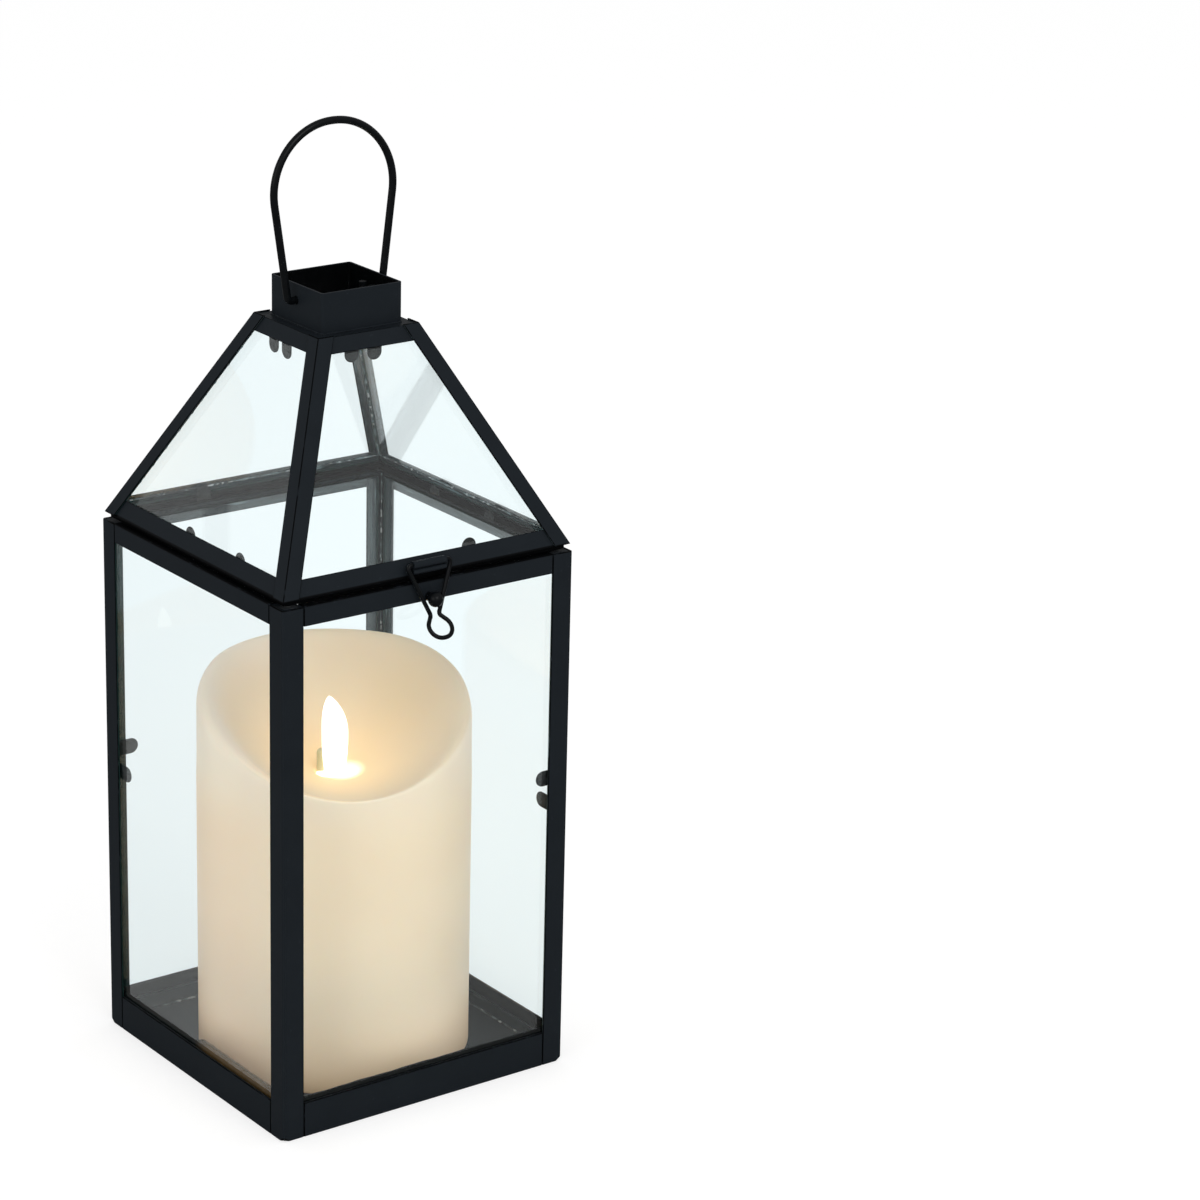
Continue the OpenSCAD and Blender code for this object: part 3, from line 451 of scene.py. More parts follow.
def wax_colour(finish, candle, place, glow, rightward, cloud, veins):
    """Ivory with cloudy and pale-vein tones; painted warm light makes it honey-coloured round the
    flame, and painted shade makes it reddish on the left, yellowish brown on the hollow's wall
    behind the flame, darker towards the foot and brown at the very foot.
    """
    _, _, z = finish.parts(place)
    # Painted shade: the wax darkens towards the foot, and turns brown at the very foot.
    shaded_foot_wax = [part * share for part, share in zip(candle.wax, FOOT_SHADE_SHARE)]
    colour = finish.mix(finish.step(z, -20 * MM, 85 * MM), shaded_foot_wax, candle.wax)
    colour = finish.mix(finish.step(z, 15 * MM, 0.0) * 0.75, colour, BROWN_FOOT_SHADE)
    # Painted warm light: honey-coloured round the flame.
    colour = finish.mix(glow * 0.85, colour, HONEY_FLAME_LIGHT)
    # Painted warm shade on the hollow's wall behind the flame.
    away = finish.vector("DISTANCE", place, HOLLOW_SHADE_PLACE, output="Value")
    colour = finish.mix(0.45 / (1.0 + (away / 0.019) ** 3.0), colour, HOLLOW_SHADE)
    colour = finish.mix(0.30 * finish.step(cloud, 0.35, 0.70), colour, CLOUDY)
    colour = finish.mix(0.08 * veins, colour, PALE_VEIN)
    # Painted warm shade: the left side, as the lantern is seen, is reddish and darker.
    rosy_shade = finish.step(rightward, -12 * MM, -36 * MM) * finish.step(z, 125 * MM, 95 * MM)
    return finish.mix(rosy_shade * 0.25, colour, ROSY_SHADE)


def wax_front_rim(finish, candle, place, radius):
    """1 on the thin front rim, which catches the light of the flame, and 0 off it."""
    _, _, z = finish.parts(place)
    front = (math.sin(CANDLE_TURN), -math.cos(CANDLE_TURN), 0.0)
    ahead = finish.vector("DOT_PRODUCT", place, front, output="Value") / (radius + 0.1 * MM)
    fall = (0.5 + 0.5 * ahead) ** 2.0 * candle.scoop_drop
    from_rim = finish.maths("ABSOLUTE", WAX_HIGH.z - 0.2 * MM - fall - z)
    return finish.step(from_rim, 0.7 * MM, 0.2 * MM) * finish.step(ahead, 0.35, 0.85)


def wax_light(finish, candle, place, glow, rightward):
    """Light from within: the flame's round the hollow, and daylight through the edges."""
    x, y, z = finish.parts(place)
    radius = finish.maths("SQRT", x * x + y * y)
    beside = (2.7 * MM * math.cos(CANDLE_TURN), 2.7 * MM * math.sin(CANDLE_TURN),
              candle.hollow_floor)
    from_pool = finish.vector("DISTANCE", place, beside, output="Value")
    pool = finish.step(from_pool, 9.6 * MM, 5.6 * MM)
    rim = wax_front_rim(finish, candle, place, radius) * finish.step(rightward, 22 * MM, 4 * MM)
    warm = finish.mix(pool, candle.glow, POOL_LIGHT)
    light = finish.mix(glow * 0.34 + pool * 0.60 + rim * 0.16, (0.0, 0.0, 0.0), warm)

    band = finish.step(z, 20 * MM, 75 * MM) * finish.step(z, 135 * MM, 100 * MM)
    dimmer = 0.04 * finish.step(x - y, 20 * MM, 90 * MM)
    light = finish.mix(band * (0.10 - dimmer), light, candle.glow)

    high = finish.step(z, 98 * MM, 135 * MM)
    crown = high * finish.step(radius, 49.5 * MM, 50.5 * MM)
    left = finish.step(rightward, -12 * MM, -32 * MM)
    shoulder = high * finish.step(radius, 36 * MM, 48 * MM) * left
    light = finish.mix(0.09 * finish.maths("MAXIMUM", crown, shoulder), light, CROWN_LIGHT)
    low_side = finish.step(rightward, 22 * MM, 44 * MM) * finish.step(z, 60 * MM, 15 * MM)
    light = finish.mix(low_side * 0.07, light, SIDE_LIGHT)
    return finish.mix(finish.step(z, 45 * MM, 8 * MM) * 0.12, light, FOOT_LIGHT)


def wax_finish(candle):
    """Ivory wax lit from within round the hollow."""
    finish = new_finish("ivory_wax")
    place = finish.place()
    x, y, _ = finish.parts(place)
    cloud = finish.noise(place, 24, 3.0, 0.5)
    veins = finish.noise(place, 120, 4.0, 0.6)
    # How far right a point is when the lantern's front left corner faces the eye
    rightward = x * 0.80 - y * 0.60
    middle = (0.0, 0.0, candle.hollow_floor + 6 * MM)
    reach = finish.vector("DISTANCE", place, middle, output="Value")
    glow = 1.0 / (1.0 + (reach / 0.024) ** 2.6)
    return finish.show(finish.surface(
        Base_Color=wax_colour(finish, candle, place, glow, rightward, cloud, veins),
        Roughness=0.42 + 0.12 * cloud, Subsurface_Weight=0.22,
        Subsurface_Radius=(1.0, 0.55, 0.3), Subsurface_Scale=6 * MM,
        Emission_Color=wax_light(finish, candle, place, glow, rightward),
        Emission_Strength=1.0, Normal=finish.bump(veins, 0.12, 0.5 * MM)))


def glowing(name, colour, strength):
    """Wax or plastic that a lamp lights from behind, a little uneven."""
    finish = new_finish(name)
    cloud = finish.noise(finish.place(), 300, 2.0, 0.5)
    light = finish.mix(cloud * 0.25, colour, times(colour, 0.8))
    return finish.show(finish.surface(
        Base_Color=rgba(colour), Roughness=0.5, Emission_Color=light,
        Emission_Strength=strength))


def flame_finish(candle):
    """Lit flame leaf, whitest in its belly."""
    finish = new_finish("lit_flame")
    _, _, z = finish.parts(finish.place())
    rise = finish.step(z, candle.hollow_floor, candle.hollow_floor + FLAME_HEIGHT)
    light = finish.mix(rise, (1.0, 0.97, 0.90), candle.flame)
    return finish.show(finish.surface(
        Base_Color=rgba(candle.flame), Roughness=0.5, Emission_Color=light,
        Emission_Strength=1.7))


def moulded(name, colour, roughness):
    """Moulded plastic or coated metal with a fine mottled skin."""
    finish = new_finish(name)
    place = finish.place()
    skin = finish.noise(place, 900, 3.0, 0.6)
    shade = finish.mix(skin * 0.48, colour, times(colour, 0.7))
    return finish.show(finish.surface(
        Base_Color=shade, Roughness=roughness + 0.1 * skin,
        Normal=finish.bump(skin, 0.1, 0.2 * MM)))


def bare_metal(name, colour, roughness=0.3):
    """Drawn or plated metal with fine scratches."""
    finish = new_finish(name)
    squeezed = finish.vector("MULTIPLY", finish.place(), (1, 1, 12))
    scratches = finish.noise(squeezed, 500, 4.0, 0.7)
    shade = finish.mix(scratches, colour, times(colour, 0.6))
    return finish.show(finish.surface(
        Base_Color=shade, Roughness=roughness + 0.2 * scratches, Metallic=1.0))


def bright_solder(metal):
    """Smeared grey solder, brighter on its lumps, with painted glints in spots. Its pale beads are
    partly real solder and partly painted highlights along the pan's bend and the panes' inner
    edges.
    """
    finish = new_finish("solder_and_highlight")
    place = finish.place()
    smear = finish.step(finish.noise(place, 210, 4.0, 0.6), 0.42, 0.62)
    colour = finish.mix(smear, metal.inside, times(metal.streak, 2.2))
    # Painted glints: small bright spots.
    glint = finish.step(finish.noise(place, 420, 2.0, 0.5), 0.56, 0.62)
    colour = finish.mix(glint, colour, (0.50, 0.52, 0.52))
    return finish.show(finish.surface(
        Base_Color=colour, Roughness=0.38 + 0.2 * smear, Specular_IOR_Level=0.4,
        Normal=finish.bump(smear, 0.2, 0.3 * MM)))


def solder_finish(metal):
    """Dull grey solder on the tabs, blotched and slightly lumpy."""
    finish = new_finish("dull_solder")
    place = finish.place()
    blotch = finish.noise(place, 340, 4.0, 0.65)
    colour = finish.mix(finish.step(blotch, 0.35, 0.7), times(metal.tab, 0.45), metal.tab)
    return finish.show(finish.surface(
        Base_Color=colour, Roughness=0.45 + 0.25 * blotch, Specular_IOR_Level=0.20,
        Normal=finish.bump(blotch, 0.35, 0.4 * MM)))


# ---- Meshes ----


def new_piece(name, mesh_maker, body, material):
    """Makes a mesh piece with mesh_maker(bm), smooth, riding on a body."""
    mesh = bpy.data.meshes.new(name)
    bm = bmesh.new()
    mesh_maker(bm)
    bmesh.ops.recalc_face_normals(bm, faces=bm.faces)
    for face in bm.faces:
        face.smooth = True
    bm.to_mesh(mesh)
    bm.free()
    piece = bpy.data.objects.new(name, mesh)
    bpy.context.scene.collection.objects.link(piece)
    mesh.materials.append(material)
    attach(piece, body)
    return piece


def skin_rings(bm, rings, capped=False):
    """Joins rings of points with quads. The run of rings closes on itself, or ends in a
    face at both ends where capped is set."""
    rows = [[bm.verts.new(point) for point in ring] for ring in rings]
    count = len(rows[0])
    for low, high in zip(rows, rows[1:] if capped else rows[1:] + rows[:1]):
        for i in range(count):
            j = (i + 1) % count
            bm.faces.new((low[i], low[j], high[j], high[i]))
    if capped:
        bm.faces.new(rows[0])
        bm.faces.new(rows[-1])


def fade(value, low, high):
    """0 up to low, 1 from high, and smooth between."""
    t = min(max((value - low) / (high - low), 0), 1)
    return t * t * (3 - 2 * t)


def soften(name, width, edge_material=None):
    """Welds a CAD piece's faces, merges the flat ones and rounds its sharp edges."""
    piece = nodes[name]
    weld = piece.modifiers.new("weld", "WELD")
    weld.merge_threshold = 0.002 * MM
    merge = piece.modifiers.new("merge", "DECIMATE")
    merge.decimate_type = "DISSOLVE"
    merge.angle_limit = math.radians(1)
    bevel = piece.modifiers.new("round", "BEVEL")
    bevel.width = width
    bevel.segments = 2
    bevel.limit_method = "ANGLE"
    bevel.angle_limit = math.radians(35)
    bevel.use_clamp_overlap = True
    if edge_material:
        piece.data.materials.append(edge_material)
        bevel.material = 1
    normals = piece.modifiers.new("normals", "WEIGHTED_NORMAL")
    normals.keep_sharp = False


def dress(names, material):
    """Gives CAD pieces a finish in place of their plain one."""
    for name in names:
        nodes[name].material_slots[0].material = material


# ---- Operators, one for each piece or group of like pieces ----


class LanternOperator:
    """What all the lantern's operators share."""

    bl_options = {"REGISTER", "UNDO"}

    def execute(self, context):
        self.build(context.scene)
        return {"FINISHED"}


class LANTERN_OT_frame(LanternOperator, bpy.types.Operator):
    """Finish the base rails, posts and top rails in satin black"""

    bl_idname = "lantern.frame"
    bl_label = "Body frame"

    def build(self, scene):
        metal = scene.lantern_metal
        edge = edge_light_and_shade(metal)
        posts = [f"post_{corner}" for corner in CORNERS]
        dress(posts, black_paint(metal, "black_paint_upright", (0, 0, 1)))
        for sides, run in RAIL_RUNS:
            rails = [f"{kind}_{side}" for kind in ("base_rail", "top_rail") for side in sides]
            dress(rails, black_paint(metal, f"black_paint_rail_{sides[0]}", run))
            for name in rails:
                soften(name, metal.edge_round, edge)
        for name in posts:
            soften(name, metal.edge_round, edge)


class LANTERN_OT_floor_pan(LanternOperator, bpy.types.Operator):
    """Finish the floor pan in dull, smudged grey paint"""

    bl_idname = "lantern.floor_pan"
    bl_label = "Floor pan"

    DARK, LIGHT = (0.025, 0.029, 0.031), (0.041, 0.046, 0.049)

    def build(self, scene):
        finish = new_finish("pan_paint")
        place = finish.place()
        smudge = finish.step(finish.noise(place, 38, 4.0, 0.6), 0.35, 0.75)
        grain = finish.noise(place, 1500, 2.0, 0.6)
        dress(["floor_pan"], finish.show(finish.surface(
            Base_Color=finish.mix(smudge, self.DARK, self.LIGHT),
            Roughness=0.42 + 0.2 * smudge, Specular_IOR_Level=0.10,
            Normal=finish.bump(grain, 0.12, 0.2 * MM))))
        soften("floor_pan", scene.lantern_metal.edge_round)


class LANTERN_OT_lid_frame(LanternOperator, bpy.types.Operator):
    """Finish the lid's rails, hips, cap and collar"""

    bl_idname = "lantern.lid_frame"
    bl_label = "Lid frame"

    def build(self, scene):
        metal = scene.lantern_metal
        edge = edge_light_and_shade(metal)
        dress(["roof_cap", "chimney_collar"],
              black_paint(metal, "black_paint_cap", inner_shade=True))
        for sides, run in RAIL_RUNS:
            rails = [f"lid_rail_{side}" for side in sides]
            dress(rails, black_paint(metal, f"black_paint_lid_{sides[0]}", run))
            for name in rails:
                soften(name, metal.edge_round, edge)
        for corner in CORNERS:
            low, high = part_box(f"hip_{corner}")
            across = low.x - high.x if low.x > 0 else high.x - low.x
            deep = low.y - high.y if low.y > 0 else high.y - low.y
            run = (across, deep, high.z - low.z)
            dress([f"hip_{corner}"], black_paint(metal, f"black_paint_hip_{corner}", run))
            soften(f"hip_{corner}", metal.edge_round, edge)
        soften("roof_cap", metal.edge_round, edge)
        rim = edge_light_and_shade(metal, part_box("chimney_collar")[1].z)
        soften("chimney_collar", metal.edge_round, rim)


class LANTERN_OT_glass(LanternOperator, bpy.types.Operator):
    """Finish the eight panes in clear glass with green edges"""

    bl_idname = "lantern.glass"
    bl_label = "Glass"

    def build(self, scene):
        glass = scene.lantern_glass
        low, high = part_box("roof_glass_front")
        run = math.hypot(high.y - low.y, high.z - low.z)
        # The direction square to a roof pane: its level part and its upward part
        lean = ((high.z - low.z) / run, (high.y - low.y) / run)
        across = {
            "side_glass_front": (0, 1, 0), "side_glass_right": (1, 0, 0),
            "roof_glass_front": (0, lean[0], lean[1]), "roof_glass_right": (lean[0], 0, lean[1]),
        }
        opposite = {"front": "back", "right": "left"}
        for name, direction in across.items():
            side = name.rsplit("_", 1)[1]
            material = clear_glass(glass, f"clear_{name}", direction)
            dress([name, name.replace(side, opposite[side])], material)


# How far the trim is sunk into the piece that it lies on
SEAT = 0.02 * MM


def turned(side, point):
    """A point that is given for the front, turned to another side of the lantern."""
    return Matrix.Rotation(math.pi / 2 * QUARTER[side], 3, "Z") @ Vector(point)


def add_tab(bm, foot, along, across, length, width, thick):
    """A flat tab with one round end and a softly domed face, from its foot outwards."""
    along, across = Vector(along).normalized(), Vector(across).normalized()
    out = along.cross(across)
    round_steps = 20
    straight = length - width / 2
    # Inset in mm and height in thicknesses of each ring, from the pane outwards
    levels = ((0, 0), (0, 0.6), (0.1, 0.88), (0.3, 1.0), (0.9, 1.12), (1.8, 1.2))
    rings = []
    for inset, height in levels:
        radius = width / 2 - inset * MM
        turns = [math.pi * i / round_steps for i in range(1, round_steps)]
        ring = [(-radius, 0), (-radius, straight)]
        ring += [(-radius * math.cos(turn), straight + radius * math.sin(turn)) for turn in turns]
        ring += [(radius, straight), (radius, 0)]
        rings.append([Vector(foot) + across * u + along * v + out * (height * thick)
                      for u, v in ring])
    skin_rings(bm, rings, capped=True)


class LANTERN_OT_tabs(LanternOperator, bpy.types.Operator):
    """Shape the solder-coated tabs that hold the panes"""

    bl_idname = "lantern.tabs"
    bl_label = "Solder tabs"

    WIDTH, THICK = 6.0 * MM, 0.5 * MM
    # Side tabs: side of the pane, which post carries it (-1 left, 1 right), height, reach
    SIDE_TABS = (("left", -1, 0.1061, 0.0148), ("back", 1, 0.1136, 0.0130),
                 ("front", 1, 0.1168, 0.0128), ("right", -1, 0.1040, 0.0156))
    # Roof tabs, by side: place along the side and height of the tip, of the two that hang
    # from the cap and the two that stand on the rail
    HANG_AT, HANG_TOP = 20.6 * MM, 0.2825
    HANGING = {"front": ((-0.0073, 0.2766), (0.0024, 0.2762)),
               "right": ((-0.0050, 0.2760), (0.0045, 0.2757)),
               "back": ((-0.0035, 0.2762), (0.0060, 0.2758)),
               "left": ((-0.0075, 0.2754), (0.0010, 0.2750))}
    STAND_AT, STAND_FOOT = 54.3 * MM, 0.2069
    STANDING = {"front": ((-0.0150, 0.2121), (0.0212, 0.2151)),
                "right": ((-0.0200, 0.2100), (0.0160, 0.2102)),
                "back": ((-0.0180, 0.2100), (0.0225, 0.2128)),
                "left": ((-0.0107, 0.2142), (0.0233, 0.2139))}

    def build(self, scene):
        solder = solder_finish(scene.lantern_metal)
        size = {"width": self.WIDTH, "thick": self.THICK}

        def side_tabs(bm):
            for side, post, height, reach in self.SIDE_TABS:
                foot = turned(side, (post * (HALF - SHEET), -PANE_IN + SEAT, height))
                add_tab(bm, foot, turned(side, (-post, 0, 0)), turned(side, (0, 0, post)),
                        reach - SHEET, **size)

        def roof_tabs(bm):
            for side in SIDES:
                for along, tip in self.HANGING[side]:
                    foot = turned(side, (along, -self.HANG_AT, self.HANG_TOP))
                    add_tab(bm, foot, (0, 0, -1), turned(side, (1, 0, 0)),
                            self.HANG_TOP - tip, **size)
                for along, tip in self.STANDING[side]:
                    foot = turned(side, (along, -self.STAND_AT, self.STAND_FOOT))
                    add_tab(bm, foot, (0, 0, 1), turned(side, (-1, 0, 0)),
                            tip - self.STAND_FOOT, **size)

        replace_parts(new_piece("side_tabs", side_tabs, "lantern_body", solder),
                    "side_glass_tabs")
        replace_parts(new_piece("roof_tabs", roof_tabs, "lid", solder),
                    "roof_glass_tabs")


def add_bead(bm, points, radius, lump, seed=0.0, closed=False):
    """A lumpy solder bead along points. lump is the share that its radius swells by."""
    sides = 8
    rings = []
    count = len(points)
    for i, point in enumerate(points):
        before = points[i - 1] if i or closed else point
        after = points[(i + 1) % count] if i + 1 < count or closed else point
        go = (after - before).normalized()
        side = go.cross(Vector((0, 0, 1)) if abs(go.z) < 0.9 else Vector((1, 0, 0))).normalized()
        up = side.cross(go)
        swell = 1 + lump * (math.sin(1.7 * i + seed) * 0.5 + math.sin(0.61 * i + 2 * seed) * 0.5)
        rings.append([point + (side * math.cos(2 * math.pi * k / sides) +
                               up * math.sin(2 * math.pi * k / sides)) * radius * swell
                      for k in range(sides)])
    skin_rings(bm, rings, capped=not closed)


def add_straight_bead(bm, start, end, count, radius, lump, seed):
    """A lumpy solder bead from start to end, with count rings."""
    points = [start.lerp(end, i / (count - 1)) for i in range(count)]
    add_bead(bm, points, radius, lump, seed)


class LANTERN_OT_solder(LanternOperator, bpy.types.Operator):
    """Run solder along the pan, into the corners, inside the roof and round the collar"""

    bl_idname = "lantern.solder"
    bl_label = "Solder"

    # Where the roof's beads start and end, above the lid's foot
    ROOF_LOW, ROOF_HIGH = LID_Z + 4.2 * MM, LID_Z + 74 * MM
    # How far a bead along a pane lies inwards from it
    OFF_PANE = 0.15 * MM
    # Inset and height, in mm, of the rings of a web, from its underside up
    WEB_LEVELS = ((0, -0.55), (0, -0.2), (0.25, -0.1), (1.2, -0.2))

    def pan_beads(self, bm):
        """Beads along the foot of the base rails."""
        line, height = HALF - SHEET - 0.35 * MM, PAN_TOP + 0.2 * MM
        for side in SIDES:
            start = turned(side, (-POST_IN, -line, height))
            end = turned(side, (POST_IN, -line, height))
            add_straight_bead(bm, start, end, 56, 0.42 * MM, 0.15, QUARTER[side])

    def post_beads(self, bm):
        """A bead in each upright corner, where two panes meet."""
        inner = PANE_IN - self.OFF_PANE
        for side in SIDES:
            start = turned(side, (inner, -inner, RAIL_TOP - 1 * MM))
            end = turned(side, (inner, -inner, POST_TOP - 1.5 * MM))
            add_straight_bead(bm, start, end, 150, 0.28 * MM, 0.7, QUARTER[side])

    def roof_beads(self, bm):
        """Beads along the inside of the roof panes: their feet and their slanted corners."""
        reach = roof_inside(self.ROOF_LOW) - self.OFF_PANE
        top = roof_inside(self.ROOF_HIGH) - self.OFF_PANE
        for side in SIDES:
            left = turned(side, (-reach, -reach, self.ROOF_LOW))
            right = turned(side, (reach, -reach, self.ROOF_LOW))
            peak = turned(side, (top, -top, self.ROOF_HIGH))
            add_straight_bead(bm, left, right, 90, 0.26 * MM, 0.8, QUARTER[side])
            add_straight_bead(bm, right, peak, 110, 0.30 * MM, 0.8, QUARTER[side] + 4)

    def webs(self, bm):
        """A web of solder in the top of each post's angle."""
        out, mid, far = HALF - SHEET - 0.05 * MM, HALF - 4.5 * MM, POST_IN - 0.1 * MM
        outline = ((out, out), (far, out), (far, mid), (mid, far), (out, far))
        centre = Vector((0.5 * (out + mid), 0.5 * (out + mid)))
        for side in SIDES:
            rings = []
            for inset, height in self.WEB_LEVELS:
                ring = []
                for x, y in outline:
                    step = (centre - Vector((x, y))).normalized() * inset * MM
                    ring.append(turned(side, (x + step.x, y + step.y, POST_TOP + height * MM)))
                rings.append(ring)
            skin_rings(bm, rings, capped=True)

    def collar_bead(self, bm):
        """A bead round the collar's foot, with round corners."""
        low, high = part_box("chimney_collar")
        half, corner = high.x + 0.1 * MM, 1.5 * MM
        height = low.z + 0.15 * MM
        straight = [((half - corner) * (i / 12 - 1), -half) for i in range(24)]
        bend = [(half - corner + corner * math.sin(a), -half + corner - corner * math.cos(a))
                for a in (math.pi / 2 * i / 5 for i in range(6))]
        points = [turned(side, (x, y, height)) for side in SIDES for x, y in straight + bend]
        add_bead(bm, points, 0.36 * MM, 0.35, closed=True)

    def build(self, scene):
        metal = scene.lantern_metal
        solder = bright_solder(metal)
        for name, beads, body in (("pan_solder", self.pan_beads, "lantern_body"),
                                  ("post_solder", self.post_beads, "lantern_body"),
                                  ("roof_solder", self.roof_beads, "lid")):
            new_piece(name, beads, body, solder)
        new_piece("corner_webs", self.webs, "lantern_body",
                  black_paint(metal, "black_paint_webs"))
        new_piece("collar_solder", self.collar_bead, "lid",
                  black_paint(metal, "black_paint_bead"))


class LANTERN_OT_seals(LanternOperator, bpy.types.Operator):
    """Lay the thin dark seals along the foot of the side panes, which are partly painted shade"""

    bl_idname = "lantern.seals"
    bl_label = "Pane seals"

    LOW, THICK = 9.0 * MM, 0.25 * MM
    # How far each seal shows above the base rail, in mm, and the left one at its low end
    RISE = {"front": 1.7, "right": 0.6, "back": 0.6, "left": 5.2}
    LEFT_LOW = 1.8
    # How much higher a seal climbs in the corners, in mm
    CORNER_RISE = 3.0
    STEPS = 60
    # The black stands partly for painted shade along the rails
    BLACK = (0.004, 0.005, 0.005)
    BROWN, PALE_BROWN = (0.075, 0.040, 0.012), (0.130, 0.075, 0.028)

    def top(self, side, i, x, half):
        """Height of a seal's top edge at step i of its length, where half is its end's x."""
        seed = QUARTER[side]
        rise = self.RISE[side]
        if side == "left":
            rise = self.LEFT_LOW + (rise - self.LEFT_LOW) * fade(x, -4 * MM, 8 * MM)
        wave = 0.10 * math.sin(0.5 * i + seed) + 0.06 * math.sin(1.3 * i + 2 * seed)
        corner = self.CORNER_RISE * fade(abs(x) / half, 0.955, 1.0)
        return RAIL_TOP + (rise + wave + corner) * MM

    def seals(self, bm):
        half = PANE_IN - 0.6 * MM
        back, front = -PANE_IN + SEAT, -PANE_IN + self.THICK
        for side in SIDES:
            rings = []
            for i in range(self.STEPS + 1):
                x = (2 * i / self.STEPS - 1) * half
                top = self.top(side, i, x, half)
                rings.append([turned(side, point) for point in (
                    (x, back, self.LOW), (x, front, self.LOW),
                    (x, front, top - 0.2 * MM), (x, back, top))])
            skin_rings(bm, rings, capped=True)

    def build(self, scene):
        finish = new_finish("dark_seal")
        place = finish.place()
        body = finish.noise(place, 400, 3.0, 0.6)
        x, y, z = finish.parts(place)
        # Painted shade: on the left pane, where the candle's foot shows through, the seal is brown
        # and a little see-through.
        brown_shade = finish.step(y, 4 * MM, -8 * MM) * finish.step(x, -56 * MM, -58 * MM)
        brown = finish.mix(body, self.BROWN, self.PALE_BROWN)
        thin = finish.step(z + 1 * MM * body, RAIL_TOP + 3.6 * MM, RAIL_TOP + 5.2 * MM)
        material = finish.show(finish.surface(
            Base_Color=finish.mix(brown_shade, self.BLACK, brown), Roughness=0.6,
            Specular_IOR_Level=0.05, Alpha=(1.0 - 0.15 * brown_shade) * (1.0 - thin)))
        new_piece("pane_seals", self.seals, "lantern_body", material)


class LANTERN_OT_fittings(LanternOperator, bpy.types.Operator):
    """Finish the latch, hinges and bail"""

    bl_idname = "lantern.fittings"
    bl_label = "Latch, hinges and bail"

    def build(self, scene):
        metal = scene.lantern_metal
        sheet = ["latch_bracket", "hinge_leaf_body", "hinge_leaf_lid"]
        dress(sheet, black_paint(metal, "black_paint_fittings"))
        dress(["latch_knob", "latch_loop", "bail_handle"], glossy_paint(metal))
        dress(["hinge_pins"], bare_metal("bright_steel", (0.42, 0.42, 0.43)))
        for name in sheet:
            soften(name, metal.edge_round / 2)


